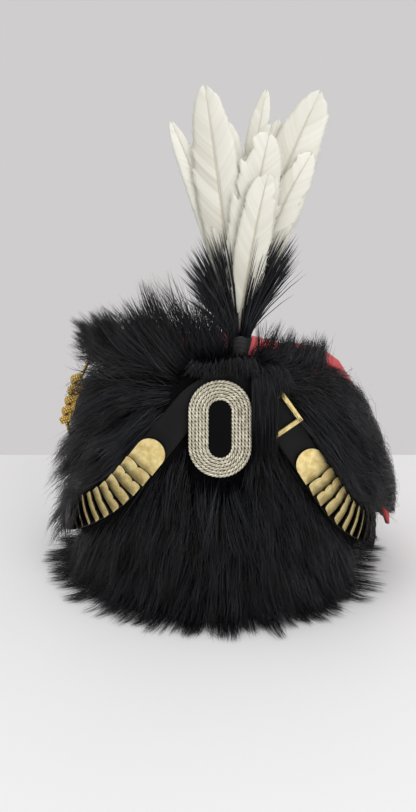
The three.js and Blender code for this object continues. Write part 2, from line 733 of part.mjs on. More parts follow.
function furLock(row, index, rowIndex) {
  const seed = 100 * rowIndex + index;
  const angle = (360 * (index + 0.5 * (rowIndex % 2))) / row.count + LOCK_UNEVEN.angle * uneven(seed, 1);
  const sideways = Math.sin(degToRad(angle)) ** 2;
  const sideReach = angle < 180 ? LOCK_RIGHT_REACH : 1;
  const reach = (row.reach + LOCK_UNEVEN.reach * uneven(seed, 2)) * lerp(LOCK_FRONT_REACH, sideReach, sideways);
  const tipHeight = Math.max(2, row.tipHeight + LOCK_UNEVEN.height * uneven(seed, 3));
  const sweep = row.sweep * Math.sin(degToRad(2 * angle));
  const coat = readTable(COAT_SECTIONS, "height", "depth", row.rootHeight);
  const curve = new THREE.QuadraticBezierCurve3(
    skin(angle, row.rootHeight, LOCK_ROOT * coat),
    skin(angle + 0.5 * sweep, lerp(row.rootHeight, tipHeight, LOCK_SHOULDER), LOCK_BEND * reach),
    skin(angle + sweep, tipHeight, reach),
  );
  const side = new THREE.Vector3(0, 0, 1).cross(outward(angle, row.rootHeight)).normalize();
  const rings = LOCK_STATIONS.map(({ along, width, thickness }) => {
    const p = curve.getPoint(along);
    const face = new THREE.Vector3().crossVectors(curve.getTangent(along), side).normalize();
    return [
      p.clone().addScaledVector(side, (row.width * width) / 2),
      p.clone().addScaledVector(face, (row.thickness * thickness) / 2),
      p.clone().addScaledVector(side, (-row.width * width) / 2),
    ];
  });
  return solidOf(spike(rings, curve.getPoint(1)));
}

// What the fur is pressed back from: the strap's groove, the cockade, the bag, the plume and the plait.
function furRooms() {
  const cockadeOutline = coreOutline(COCKADE_HOLE_RADIUS + CORD_ROWS * CORD_PITCH + 1, CORD_ARC_STEPS);
  const cockadeRoom = new THREE.Mesh(plate(new THREE.Shape(cockadeOutline), GROOVE_DEPTH));
  placeOnFront(cockadeRoom);
  cockadeRoom.updateMatrix();
  const back = new THREE.Matrix4().makeTranslation(0, 0, -GAP);
  const cockade = cockadeRoom.geometry.clone().applyMatrix4(back).applyMatrix4(cockadeRoom.matrix);
  const plume = turned(
    [
      { radius: PLUME_PROFILE[0].radius + GAP, height: PLUME_PROFILE[0].height - GAP },
      { radius: PLUME_PROFILE[1].radius + GAP, height: 168 },
      { radius: 9, height: 174 },
      { radius: 12, height: 190 },
      { radius: 52, height: 245 },
    ],
    PLUME_SIDES,
  );
  const roundCrown = (height) => anglesRound(CROWN_SIDES).map((angle) => skin(angle, height, GAP));
  const crown = loft([-5, ...CROWN_SECTIONS.map((section) => section.height), 215].map(roundCrown));
  const { depth, from, to } = BACK_GROOVE;
  const strap = strapBand(STRAP_GROOVE, -GAP, (angle) => lerp(GROOVE_DEPTH, depth, smoothstep(angle, from, to)));
  const rooms = [strap, cockade, bagRoom(), plume, plaitRoom(), crown].map(solidOf);
  return [...rooms, sidePlait(GAP)];
}

function furPelt() {
  const locks = LOCK_ROWS.flatMap((row, r) => Array.from({ length: row.count }, (_, i) => furLock(row, i, r)));
  const whole = joinAll([solidOf(furCoat()), ...locks]);
  return mainBody(mainBody(whole).subtract(joinAll(furRooms())));
}

// Assembly
addPiece("crown_body", crownGeometry(), "crown");
addPiece("bag", geometryOf(joinAll([solidOf(bagTop()), solidOf(bagFall())])), "bag");
addPiece("fur", geometryOf(furPelt()), "fur");

addPiece("strap", strapBand(STRAP_WIDTH, 0, () => STRAP_THICKNESS), "leather");
const buckle = addPiece("strap_buckle", plate(buckleShape(), BUCKLE_THICKNESS), "brass");
layOnStrap(buckle, BUCKLE_AT, 1, 0, BUCKLE_LIFT);
for (const [sideName, side] of [["left", -1], ["right", 1]]) {
  const plateRoot = PLATE_START[sideName] + PLATE_LENGTH;
  const endPlate = addPiece(`end_plate_${sideName}`, plate(plateShape(), SCALE_THICKNESS), "brass");
  layOnStrap(endPlate, plateRoot, side, 0);
  for (let i = 1; i <= SCALE_COUNT; i++) {
    const lobes = i % 2 ? 2 : 3;
    const scale = addPiece(`scale_${sideName}_${i}`, plate(scaleShape(lobes), SCALE_THICKNESS), "brass");
    layOnStrap(scale, plateRoot + i * SCALE_PITCH, side, SCALE_TILT);
  }
}

const board = addPiece("cockade_board", cockadeBoard(), "velvet");
placeOnFront(board);
const cord = addPiece("cockade_cord", cordRing().translate(0, 0, BOARD_THICKNESS + GAP), "silver");
placeOnFront(cord);

addPiece("plume_binding", turned(PLUME_PROFILE, PLUME_SIDES), "binding");
addPiece("plume_feathers", geometryOf(mainBody(featherBunch(0))), "feather");
addPiece("plume_hair", geometryOf(mainBody(hairTuft().subtract(featherBunch(GAP)))), "hair");

addPiece("side_plait", geometryOf(mainBody(sidePlait(0))), "gold");

export default busby;
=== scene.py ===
import math

import bpy
import numpy as np
from mathutils import Matrix, Vector


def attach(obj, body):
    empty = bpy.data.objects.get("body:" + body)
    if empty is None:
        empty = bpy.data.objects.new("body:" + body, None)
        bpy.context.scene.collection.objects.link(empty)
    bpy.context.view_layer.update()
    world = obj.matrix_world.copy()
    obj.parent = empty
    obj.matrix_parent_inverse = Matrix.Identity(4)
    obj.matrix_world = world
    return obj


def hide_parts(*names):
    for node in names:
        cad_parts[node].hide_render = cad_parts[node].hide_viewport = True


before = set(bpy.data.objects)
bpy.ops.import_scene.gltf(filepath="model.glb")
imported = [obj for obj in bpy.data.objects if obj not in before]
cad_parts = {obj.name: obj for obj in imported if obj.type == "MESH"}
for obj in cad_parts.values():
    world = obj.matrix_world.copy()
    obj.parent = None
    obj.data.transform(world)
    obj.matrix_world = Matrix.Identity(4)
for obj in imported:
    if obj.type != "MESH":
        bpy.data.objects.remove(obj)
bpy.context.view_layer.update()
bpy.ops.object.select_all(action="DESELECT")


# Camera: held a little above the hat's middle, looking slightly down at its front.
bpy.ops.object.camera_add(location=(-0.0087, -0.560, 0.235), rotation=(math.radians(90 - 11.4), 0, 0))
camera = bpy.context.object
camera.data.sensor_width = 36
camera.data.lens = 720 * 36 / 812
camera.data.clip_start = 0.01
bpy.context.scene.camera = camera


# Crown: the stiff oval body of black felt over board that the head goes into. It is the imported
# solid itself, and shows only from below and through the fur.
def linear(hex_colour):
    """An sRGB hex colour as linear red, green, blue and alpha."""
    shares = [int(hex_colour[i : i + 2], 16) / 255 for i in (1, 3, 5)]
    return tuple(s / 12.92 if s <= 0.04045 else ((s + 0.055) / 1.055) ** 2.4 for s in shares) + (1.0,)


def add_node(tree, kind, settings=None, values=None, links=None):
    """A material's node with its settings, its sockets' values and the links into it."""
    node = tree.nodes.new(kind)
    for name, value in (settings or {}).items():
        setattr(node, name, value)
    for socket, value in (values or {}).items():
        node.inputs[socket].default_value = value
    for socket, source in (links or {}).items():
        tree.links.new(source, node.inputs[socket])
    return node


def new_material(name):
    """An empty material and its node tree."""
    material = bpy.data.materials.new(name)
    material.use_nodes = True
    material.node_tree.nodes.clear()
    return material, material.node_tree


# Stiffened wool felt, pressed and dyed black: a matt, slightly fibrous surface.
felt, tree = new_material("pressed_black_felt")
place = add_node(tree, "ShaderNodeTexCoord")
fibres = add_node(
    tree, "ShaderNodeTexNoise", None, {"Scale": 900, "Detail": 4}, {"Vector": place.outputs["Object"]}
)
shade = add_node(tree, "ShaderNodeValToRGB", None, None, {"Fac": fibres.outputs["Fac"]})
shade.color_ramp.elements[0].color = linear("#0c0c0d")
shade.color_ramp.elements[1].color = linear("#242326")
relief = add_node(
    tree, "ShaderNodeBump", None, {"Strength": 0.4, "Distance": 0.0004}, {"Height": fibres.outputs["Fac"]}
)
shader = add_node(
    tree,
    "ShaderNodeBsdfPrincipled",
    None,
    {"Roughness": 0.92},
    {"Base Color": shade.outputs["Color"], "Normal": relief.outputs["Normal"]},
)
add_node(tree, "ShaderNodeOutputMaterial", None, None, {"Surface": shader.outputs["BSDF"]})

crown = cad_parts["crown_body"]
crown.data.materials.clear()
crown.data.materials.append(felt)


# Fur: a pelt of long, glossy black hair sewn round the crown. A dark undercoat lies on the
# crown's wall, and single tapered hairs stand out of it in tufts. The hair stands up round the
# top, is combed away from the front above the strap, and hangs and fans out below it.
crown_heights = [0, 60, 120, 166]
crown_half_widths = [88, 88, 84, 80]
crown_half_depths = [101, 100, 96, 91]
crown_top = 166
top_fall = 5
strap_apex = 4
strap_angles = [0, 12, 25, 40, 55, 72, 90, 112, 135, 158, 180]
strap_heights_left = [158, 150, 121, 84, 63, 48, 40, 35, 33, 33, 33]
strap_heights_right = [158, 149, 114, 68, 47, 38, 35, 33, 33, 33, 33]
strap_outs = [12, 14, 21, 28, 30, 27, 20, 14, 12, 12, 12]
bag_middle = 88
bag_heights = [31, 37, 48, 62, 84, 112, 142, 163, 171]
bag_outs = [47, 47, 46, 44, 41, 36, 24, 13, 3]
bag_half_angles = [4, 12, 20, 25, 30, 35, 40, 43, 44]
plume_x, plume_y = 11.3, -97
cockade_x, cockade_height = -1, 130
cockade_half_width, cockade_half_height = 20.3, 31.3
hair_count = 30500
rim_hair_count = 7000
side_hair_count = 5500
tuft_count = 1900
rim_tuft_count = 300
side_tuft_count = 160
stray_share = 0.07
degree_width = 1.7
hairs_at_once = 4000
other_side_cost = 1e4
strap_clearance = 10.4
cockade_back = 12.5
long_hair, longest_extra = 44, 14
chance = np.random.default_rng(1815)


def skin(angle, height, out):
    """Points in millimetres at a distance outside the crown's oval wall. Angles are in degrees
    from the front towards the viewer's right."""
    turn = np.radians(angle)
    half_width = np.interp(height, crown_heights, crown_half_widths)
    half_depth = np.interp(height, crown_heights, crown_half_depths)
    east, north = np.sin(turn) / half_width, -np.cos(turn) / half_depth
    size = np.hypot(east, north)
    fall = top_fall * np.sin(turn) * np.clip(np.asarray(height) / crown_top, 0, 1.2) ** 2
    x = half_width * np.sin(turn) + out * east / size
    y = -half_depth * np.cos(turn) + out * north / size
    return np.stack([x, y, height - fall], axis=-1)


def stretch(angle, height):
    """How many millimetres of the oval one degree takes."""
    turn = np.radians(angle)
    half_width = np.interp(height, crown_heights, crown_half_widths)
    half_depth = np.interp(height, crown_heights, crown_half_depths)
    return np.radians(1) * np.hypot(half_width * np.cos(turn), half_depth * np.sin(turn))


def ease(value, low, high):
    """A share from 0 to 1 that starts and stops softly between two values."""
    share = np.clip((value - low) / (high - low), 0, 1)
    return share * share * (3 - 2 * share)


def mix(first, second, share):
    """A value a share of the way from the first to the second."""
    return first + (second - first) * share


def wrap(angle):
    """An angle brought between -180 and 180 degrees."""
    return (angle + 180) % 360 - 180


def strap_level(turned):
    """The height of the chin strap's middle line at an angle from its apex."""
    left = np.interp(-turned, strap_angles, strap_heights_left)
    right = np.interp(turned, strap_angles, strap_heights_right)
    return np.where(turned < 0, left, right)


def above_strap(angle, height):
    """Distance above the chin strap's middle line, measured square to the strap."""
    turned = wrap(angle - strap_apex)
    slope = (strap_level(turned + 3) - strap_level(turned - 3)) / 6
    return (height - strap_level(turned)) / np.hypot(1, slope / 1.75)


def bed(angle, height):
    """How far the fur pressed under the strap stands out beyond the plain undercoat."""
    away = np.abs(wrap(angle - strap_apex))
    from_strap = np.abs(above_strap(angle, height))
    return (np.interp(away, strap_angles, strap_outs) - 12) * (1 - ease(from_strap, 9, 30))


def comb(angle, height):
    """How the fur lies at a root: its lean from straight down in degrees, its length, and its
    lift off the pelt in degrees at the root and at the tip."""
    turned = wrap(angle - strap_apex)
    away = np.abs(turned)
    over = above_strap(angle, height)
    is_high = over > 0
    brushed = np.interp(away, [0, 30, 60, 90, 130, 180], [88, 82, 70, 34, 10, 0])
    beside = np.interp(away, [0, 12, 25, 40, 55, 72, 90, 110], [75, 54, 44, 45, 50, 55, 34, 8])
    high_lean = mix(brushed, beside, ease(-over, -46, -14))
    across_strap = ease(turned, -4, 2) * (1 - ease(turned, 24, 38)) * (1 - ease(over, 26, 44))
    high_lean = mix(high_lean, 22, across_strap)
    low_lean = np.interp(away, [0, 20, 45, 70, 90, 130, 180], [0, 8, 24, 38, 32, 10, 0])
    lean = np.where(is_high, high_lean, low_lean)
    rim_start = np.interp(
        turned, [-180, -140, -110, -8, 8, 56, 90, 180], [166, 160, 148, 148, 153, 155, 167, 168]
    )
    rim = ease(height, rim_start, np.minimum(rim_start + 14, 169.5))
    rim_lean = np.interp(turned, [-180, -100, -60, 0, 30, 60, 180], [170, 150, 160, 174, 160, 140, 170])
    lean = mix(lean, rim_lean, rim)

    high_length = np.interp(height, [40, 80, 120, 150], [60, 62, 58, 48])
    over_bag = ease(turned, 16, 32) * (1 - ease(turned, 54, 62))
    high_length = high_length * (1 + 0.5 * over_bag)
    low_length = np.interp(height, [4, 20, 50, 100], [38, 46, 54, 54])
    low_length = low_length + 10 * np.exp(-(((away - 82) / 30) ** 2))
    beside_tip = ease(turned, 40, 56) * (1 - ease(turned, 118, 150)) * ease(height, 7, 22)
    low_length = low_length * (1 - 0.6 * beside_tip)
    length = np.where(is_high, high_length, low_length)
    rim_length = np.interp(
        turned,
        [-180, -110, -84, -60, -40, -12, 8, 34, 54, 80, 180],
        [20, 24, 26, 28, 36, 50, 28, 21, 15, 18, 20],
    )
    length = mix(length, rim_length, rim)

    sides = np.exp(-(((away - 88) / 34) ** 2))
    root_lift = np.where(is_high, 48 + 14 * sides, 52)
    tip_lift = np.where(is_high, 4 + 16 * sides, 22)
    root_lift = np.where(is_high, mix(root_lift, 62, across_strap), root_lift)
    pressed = np.where(is_high, 0, ease(over, -38, -10))
    root_lift = mix(root_lift, 26, pressed)
    near_floor = 1 - ease(height, 4, 34)
    root_lift = mix(root_lift, 76, near_floor)
    tip_lift = mix(tip_lift, 68, near_floor)
    root_lift = mix(root_lift, 26 + 32 * sides, rim)
    tip_lift = mix(tip_lift, 10 + 44 * sides, rim)
    return lean * np.sign(turned), length, root_lift, tip_lift


def grow(angle, height, lean, bend, length, root_lift, tip_lift, steps=9):
    """Walks a hair out from its root: its angle, height and distance off the wall at each step."""
    share = (np.arange(steps - 1) + 0.5) / (steps - 1)
    lift = np.radians(root_lift[:, None] + (tip_lift - root_lift)[:, None] * share**0.8)
    droop = np.where(np.abs(lean) < 100, 0.28, 0.08)
    direction = np.radians(lean[:, None] * (1 - droop[:, None] * share) + bend[:, None] * (share - 0.3))
    step = length[:, None] / (steps - 1)
    rise = np.cumsum(step * np.sin(lift), axis=1)
    sideways = np.cumsum(step * np.cos(lift) * np.sin(direction), axis=1)
    down = np.cumsum(step * np.cos(lift) * np.cos(direction), axis=1)
    reach = stretch(angle, height)[:, None] + np.radians(rise)
    lead = np.zeros((len(angle), 1))
    angles = angle[:, None] + np.hstack([lead, sideways / reach])
    heights = height[:, None] - np.hstack([lead, down])
    pad = bed(angle, height)[:, None] * (1 - 0.7 * np.linspace(0, 1, steps))
    return np.stack([angles, heights, 5 + pad + np.hstack([lead, rise])], axis=-1)


def on_cockade(points, margin):
    """Whether points lie before the cockade's long oval, widened by a margin."""
    sideways = (points[..., 0] - cockade_x) / (cockade_half_width + margin)
    upwards = (points[..., 2] - cockade_height) / (cockade_half_height + margin)
    return (sideways**4 + upwards**4 < 1) & (points[..., 1] < -60)


def under_bag(angle, height, margin):
    """Whether places on the pelt are behind the bag's fall, widened by a margin in degrees."""
    half_angle = np.interp(height, bag_heights, bag_half_angles)
    return (np.abs(wrap(angle - bag_middle)) < half_angle + margin) & (height > bag_heights[0])


def way_out(angle, height):
    """The way straight out of the pelt."""
    return skin(angle, height, np.full_like(height, 6.0)) - skin(angle, height, np.full_like(height, 5.0))


def open_pelt(angle, height):
    """Whether hair can be rooted here, clear of the strap, cockade, bag and plume."""
    points = skin(angle, height, np.full_like(height, 5.0))
    by_plume = np.hypot(points[:, 0] - plume_x, points[:, 1] - plume_y) < 4.5
    on_strap = np.abs(above_strap(angle, height)) < 6.5
    over_edge = height > np.interp(np.abs(wrap(angle)), [95, 130], [170, 161])
    closed = on_cockade(points, -2) | under_bag(angle, height, -3) | (by_plume & (height > 135))
    return ~(closed | on_strap | over_edge)


def scatter(count, rim_count, side_count):
    """Roots spread evenly over the open pelt, with more of them along the top rim and before the bag."""
    regions = [
        (count, (-180, 180), (3, 169)),
        (rim_count // 3, (-180, 180), (156, 170)),
        (rim_count - rim_count // 3, (-80, 34), (156, 170)),
        (side_count, (30, 60), (72, 168)),
    ]
    angles, heights = [], []
    for wanted, angle_range, height_range in regions:
        angle = chance.uniform(*angle_range, 4 * wanted)
        height = chance.uniform(*height_range, 4 * wanted)
        chosen = np.flatnonzero(open_pelt(angle, height))[:wanted]
        angles.append(angle[chosen])
        heights.append(height[chosen])
    return np.concatenate(angles), np.concatenate(heights)


def spikes(name, paths, radii, facing, flatness=1.0, **values):
    """One mesh of thin closed spikes. paths holds each spike's points in millimetres up to its
    tip, radii its half width at each point, and facing the way that its flat side looks."""
    count, stations = paths.shape[:2]
    along = np.gradient(paths, axis=1)
    along /= np.linalg.norm(along, axis=2, keepdims=True) + 1e-9
    side = np.cross(along, facing[:, None, :])
    side /= np.linalg.norm(side, axis=2, keepdims=True) + 1e-9
    face = np.cross(along, side)
    corners = np.radians([90, 210, 330])
    wide, deep = np.cos(corners)[:, None], flatness * np.sin(corners)[:, None]
    rings = paths[:, :-1, None, :] + radii[:, :-1, None, None] * (
        wide * side[:, :-1, None, :] + deep * face[:, :-1, None, :]
    )
    points = np.concatenate([rings.reshape(count, -1, 3), paths[:, -1:, :]], axis=1)
    each = points.shape[1]
    pattern = [[0, 2, 1]]
    for ring in range(stations - 2):
        for k in range(3):
            a, b = 3 * ring + k, 3 * ring + (k + 1) % 3
            pattern += [[a, b, b + 3], [a, b + 3, a + 3]]
    last = 3 * (stations - 2)
    pattern += [[last + k, last + (k + 1) % 3, each - 1] for k in range(3)]
    triangles = (np.arange(count)[:, None, None] * each + np.array(pattern)[None]).reshape(-1, 3)
    spread = {key: np.repeat(value, each) for key, value in values.items() if value.ndim == 1}
    along_share = np.concatenate([np.repeat(np.linspace(0, 1, stations)[:-1], 3), [1.0]])
    spread["along"] = np.tile(along_share, count)
    return mesh_piece(name, points.reshape(-1, 3), triangles, **spread)


def mesh_piece(name, points, triangles, **values):
    """A mesh object from points in millimetres and triangles, with numbers kept at its points."""
    mesh = bpy.data.meshes.new(name)
    mesh.vertices.add(len(points))
    mesh.vertices.foreach_set("co", (np.asarray(points, float) * 0.001).ravel())
    mesh.loops.add(triangles.size)
    mesh.loops.foreach_set("vertex_index", triangles.astype(np.int32).ravel())
    mesh.polygons.add(len(triangles))
    mesh.polygons.foreach_set("loop_start", np.arange(0, triangles.size, 3, dtype=np.int32))
    mesh.polygons.foreach_set("use_smooth", np.ones(len(triangles), bool))
    for key, value in values.items():
        attribute = mesh.attributes.new(key, "FLOAT", "POINT")
        attribute.data.foreach_set("value", np.asarray(value, np.float32))
    mesh.update(calc_edges=True)
    piece = bpy.data.objects.new(name, mesh)
    bpy.context.collection.objects.link(piece)
    return piece


# Guard hair of a long-haired pelt, dyed black and glossy, with fine tips. Its colour varies at random from
# hair to hair; the paler cool grey hairs are painted highlight streaks.
fur_hair, tree = new_material("glossy_black_guard_hair")
tone = add_node(tree, "ShaderNodeAttribute", {"attribute_name": "tone"})
shade = add_node(tree, "ShaderNodeValToRGB", None, None, {"Fac": tone.outputs["Fac"]})
shade.color_ramp.elements[0].color = linear("#020203")
shade.color_ramp.elements[1].color = linear("#26282e")
shader = add_node(
    tree,
    "ShaderNodeBsdfPrincipled",
    None,
    {"Roughness": 0.36, "Specular IOR Level": 0.32},
    {"Base Color": shade.outputs["Color"]},
)
add_node(tree, "ShaderNodeOutputMaterial", None, None, {"Surface": shader.outputs["BSDF"]})

# Undercoat: short dense wool, nearly without gloss.
under_wool, tree = new_material("dense_black_underwool")
place = add_node(tree, "ShaderNodeTexCoord")
wool = add_node(
    tree, "ShaderNodeTexNoise", None, {"Scale": 700, "Detail": 5}, {"Vector": place.outputs["Object"]}
)
shade = add_node(tree, "ShaderNodeValToRGB", None, None, {"Fac": wool.outputs["Fac"]})
shade.color_ramp.elements[0].color = linear("#030304")
shade.color_ramp.elements[1].color = linear("#0d0d0f")
relief = add_node(
    tree, "ShaderNodeBump", None, {"Strength": 1, "Distance": 0.001}, {"Height": wool.outputs["Fac"]}
)
shader = add_node(
    tree,
    "ShaderNodeBsdfPrincipled",
    None,
    {"Roughness": 1, "Specular IOR Level": 0.1},
    {"Base Color": shade.outputs["Color"], "Normal": relief.outputs["Normal"]},
)
add_node(tree, "ShaderNodeOutputMaterial", None, None, {"Surface": shader.outputs["BSDF"]})

# The undercoat is a ring of the crown's oval, drawn up the outside and back down by the wall.
undercoat_heights = range(3, 171, 5)
undercoat_depths = np.interp(undercoat_heights, [3, 40, 158, 170], [9, 10, 9, 3.5])
undercoat_outside = list(zip(undercoat_heights, undercoat_depths))
undercoat_outline = undercoat_outside + [(170, 3.5), (170, 0.8), (110, 0.8), (3, 0.8)]
bpy.ops.mesh.primitive_circle_add(vertices=120, radius=1, fill_type="NOTHING")
undercoat = bpy.context.object
undercoat.name = undercoat.data.name = "fur_undercoat"
bpy.ops.object.mode_set(mode="EDIT")
bpy.ops.mesh.select_all(action="SELECT")
for _ in undercoat_outline[1:]:
    bpy.ops.mesh.extrude_region_move(TRANSFORM_OT_translate={"value": (0, 0, 1)})
bpy.ops.object.mode_set(mode="OBJECT")
for vertex in undercoat.data.vertices:
    height, out = undercoat_outline[round(vertex.co.z)]
    turn = math.degrees(math.atan2(vertex.co.x, -vertex.co.y))
    pad = bed(turn, height) if out > 1 else 0
    top = np.interp(abs(turn), [95, 130], [170, 162])
    vertex.co = Vector(skin(turn, min(height, top), out + pad)) * 0.001
bpy.ops.object.mode_set(mode="EDIT")
bpy.ops.mesh.select_all(action="DESELECT")
bpy.ops.mesh.select_mode(type="EDGE")
bpy.ops.mesh.select_non_manifold()
bpy.ops.mesh.bridge_edge_loops()
bpy.ops.mesh.select_all(action="SELECT")
bpy.ops.mesh.normals_make_consistent(inside=False)
bpy.ops.object.mode_set(mode="OBJECT")
bpy.ops.object.shade_smooth()
undercoat.data.materials.append(under_wool)
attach(undercoat, "root")
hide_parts("fur")
bpy.ops.object.select_all(action="DESELECT")

# Tufts give groups of hairs a common way to lie, and pull their tips together.
tuft_angle, tuft_height = scatter(tuft_count, rim_tuft_count, side_tuft_count)
tuft_count = len(tuft_angle)
lean, length, root_lift, tip_lift = comb(tuft_angle, tuft_height)
at_rim = ease(tuft_height, 148, 163)
tuft_lean = lean + chance.normal(0, 1, tuft_count) * mix(12, 20, at_rim)
tuft_bend = chance.normal(0, 16, tuft_count)
tuft_length = length * chance.uniform(mix(0.66, 0.55, at_rim), mix(1.2, 1.4, at_rim))
tuft_root_lift = root_lift + chance.normal(0, 7, tuft_count)
tuft_tip_lift = tip_lift + chance.normal(0, 9, tuft_count)
tuft_paths = grow(tuft_angle, tuft_height, tuft_lean, tuft_bend, tuft_length, tuft_root_lift, tuft_tip_lift)

hair_angle, hair_height = scatter(hair_count, rim_hair_count, side_hair_count)
hair_count = len(hair_angle)
hair_over = above_strap(hair_angle, hair_height)
tuft_over = above_strap(tuft_angle, tuft_height)
own_tuft = np.empty(hair_count, int)
for start in range(0, hair_count, hairs_at_once):
    part = slice(start, start + hairs_at_once)
    sideways = degree_width * wrap(hair_angle[part, None] - tuft_angle)
    apart = sideways**2 + (hair_height[part, None] - tuft_height) ** 2
    apart[hair_over[part, None] * tuft_over < 0] += other_side_cost
    own_tuft[part] = apart.argmin(axis=1)

lean, length, root_lift, tip_lift = comb(hair_angle, hair_height)
stray = chance.random(hair_count) < stray_share
loose = np.where(stray, 2.4, 1.0)
hair_paths = grow(
    hair_angle,
    hair_height,
    mix(lean, tuft_lean[own_tuft], 0.5) + loose * chance.normal(0, 9, hair_count),
    tuft_bend[own_tuft] + loose * chance.normal(0, 14, hair_count),
    mix(length, tuft_length[own_tuft], 0.6) * chance.uniform(0.8, 1.14, hair_count),
    root_lift + loose * chance.normal(0, 6, hair_count),
    tip_lift + loose * chance.normal(0, 6, hair_count),
)
pull = np.where(stray, 0.1, chance.uniform(0.4, 0.82, hair_count))
share = np.linspace(0, 1, hair_paths.shape[1])
gather = pull[:, None] * share[None] ** 1.2
hair_root = np.stack([hair_angle, hair_height], axis=1)
tuft_root = np.stack([tuft_angle, tuft_height], axis=1)
kept = 0.22 * (hair_root - tuft_root[own_tuft])
target = tuft_paths[own_tuft].copy()
target[..., :2] += kept[:, None, :]
target[..., 0] = hair_paths[..., 0] + wrap(target[..., 0] - hair_paths[..., 0])
hair_paths = mix(hair_paths, target, gather[..., None])

# Hair keeps clear of what presses on the pelt, and lies on the table where it reaches it.
steps = [0, 3, 6, 8]
hair_paths = hair_paths[:, steps, :]
angle, height, out = hair_paths[..., 0], hair_paths[..., 1], hair_paths[..., 2]
from_apex = wrap(angle - strap_apex)
strap_shows = (from_apex < -10) | (from_apex > 15)
strap_side = np.sign(above_strap(hair_angle, hair_height))[:, None]
over = above_strap(angle, height) * strap_side
strap_ends = (from_apex < -57) | (from_apex > 47)
held = strap_shows & ~strap_ends & (over < strap_clearance)
held[:, 0] = False
height += np.where(held, strap_side * (strap_clearance - over) * 1.3, 0)
covers = (~strap_shows | strap_ends) & (np.abs(above_strap(angle, height)) < 12)
covers[:, 0] = False
strap_out = np.interp(np.abs(from_apex), strap_angles, strap_outs)
out[...] = np.where(covers, np.maximum(out, strap_out + np.where(strap_ends, 10, 7)), out)
tucked = on_cockade(skin(angle, height, out), 1)
out[...] = np.where(tucked, np.minimum(out, cockade_back), out)
over_bag = under_bag(angle, height, 1.5) & (height > 36)
over_bag[:, 0] = False
out[...] = np.where(over_bag, np.maximum(out, np.interp(height, bag_heights, bag_outs) + 4), out)
beside_bag = (angle > 30) & (angle < 128) & (strap_side > 0)
right_reach = np.interp(height, bag_heights, bag_outs)
right_reach = right_reach + np.where(stray, 9, chance.uniform(2, 6, hair_count))[:, None]
out[...] = np.where(beside_bag, np.minimum(out, right_reach), out)
plait_x = np.interp(height, [104, 143], [-124, -112])
beside_plait = (height > 96) & (height < 131) & (angle > -112) & (angle < -40)
excess = np.clip(plait_x + 9 - skin(angle, height, out)[..., 0], 0, 40)
out[...] = np.where(beside_plait, np.maximum(out - excess, 6), out)
extra = longest_extra * np.tanh((out - long_hair) / longest_extra)
out[...] = np.where(out > long_hair, long_hair + extra, out)
hangs_to = np.interp(hair_angle, [30, 34, 60, 90, 120, 124], [0, 66, 58, 45, 40, 0])
hangs_to = np.where(hangs_to > 0, hangs_to + chance.normal(8, 10, hair_count), 0)
too_low = (strap_side[:, 0] > 0) & (height[:, -1] < hangs_to)
drop = (height[:, 0] - hangs_to) / np.maximum(height[:, 0] - height[:, -1], 1)
drop = np.where(too_low, np.clip(drop, 0.1, 1), 1)[:, None]
height[...] = mix(height[:, :1], height, drop)
table = 0.7 + 1.6 * chance.random(hair_count)[:, None]
height[...] = np.maximum(height, table)
points = skin(angle, height, out)
from_plume = points[..., :2] - np.array([plume_x, plume_y])
distance = np.linalg.norm(from_plume, axis=-1)
room = np.interp(points[..., 2], [160, 174, 188, 215], [3.5, 6.5, 9.5, 17])
pushed = (distance < room) & (points[..., 2] > 160)
points[..., :2] += np.where(pushed[..., None], from_plume * (room / (distance + 1e-6) - 1)[..., None], 0)

thickness = chance.uniform(0.16, 0.27, hair_count) * np.where(stray, 0.75, 1)
radii = thickness[:, None] * np.array([[1.0, 0.95, 0.6, 0.0]])
# Each hair's tone varies at random; the paler cool grey hairs are painted highlight streaks.
tuft_tone = chance.normal(0, 0.2, tuft_count)
tones = np.clip(chance.random(hair_count) ** 2.6 + tuft_tone[own_tuft], 0, 1)
outwards = way_out(hair_angle, hair_height)
sectors = {
    "fur_front": (-40, 36),
    "fur_right": (36, 118),
    "fur_left": (-112, -40),
    "fur_back_right": (118, 184),
    "fur_back_left": (184, 248),
}
fur_pieces = []
for name, (low, high) in sectors.items():
    middle = (low + high) / 2
    mine = np.abs(wrap(hair_angle - middle)) <= (high - low) / 2
    fur_pieces.append(spikes(name, points[mine], radii[mine], outwards[mine], tone=tones[mine]))

# Hair from the pelt's top edge falls forward over the strap's apex and the plume's foot.
fall_count = 2800
on_buckle = chance.random(fall_count) < 0.55
fall_angle = np.where(on_buckle, chance.uniform(9, 18, fall_count), chance.uniform(-9, 21, fall_count))
fall_drift = (fall_angle - 4) * chance.uniform(0, 0.3, fall_count) + chance.normal(0, 1.6, fall_count)
fall_root = chance.uniform(161, 169, fall_count)
fall_rise = 171 + 11 * np.exp(-(((fall_angle - 7) / 6) ** 2)) + chance.normal(0, 3, fall_count)
fall_end = strap_level(fall_angle - strap_apex) - chance.uniform(6, 46, fall_count)
by_buckle = fall_angle + fall_drift > 19
fall_end = np.where(by_buckle, np.maximum(fall_end, chance.uniform(146, 156, fall_count)), fall_end)
above_cockade = (fall_angle > -15) & (fall_angle < 10.5)
fall_end = np.where(above_cockade, chance.uniform(160, 168, fall_count), fall_end)
fall_out = np.interp(np.abs(fall_angle - strap_apex), strap_angles, strap_outs)
fall_out = fall_out + chance.uniform(6, 11, fall_count)
share = np.linspace(0, 1, 5)
weights = np.stack([(1 - share) ** 3, 3 * share * (1 - share) ** 2, 3 * share**2 * (1 - share), share**3])
fall_angles = fall_angle + np.outer([0, 0.3, 0.7, 1], fall_drift)
fall_heights = np.stack([fall_root, fall_rise + 6, mix(fall_root, fall_end, 0.3), fall_end])
fall_outs = np.stack([np.full(fall_count, 6.0), fall_out + 1, fall_out + 4, fall_out])
fall_points = skin(fall_angles.T @ weights, fall_heights.T @ weights, fall_outs.T @ weights)
tucked = on_cockade(fall_points, -1).any(axis=1)
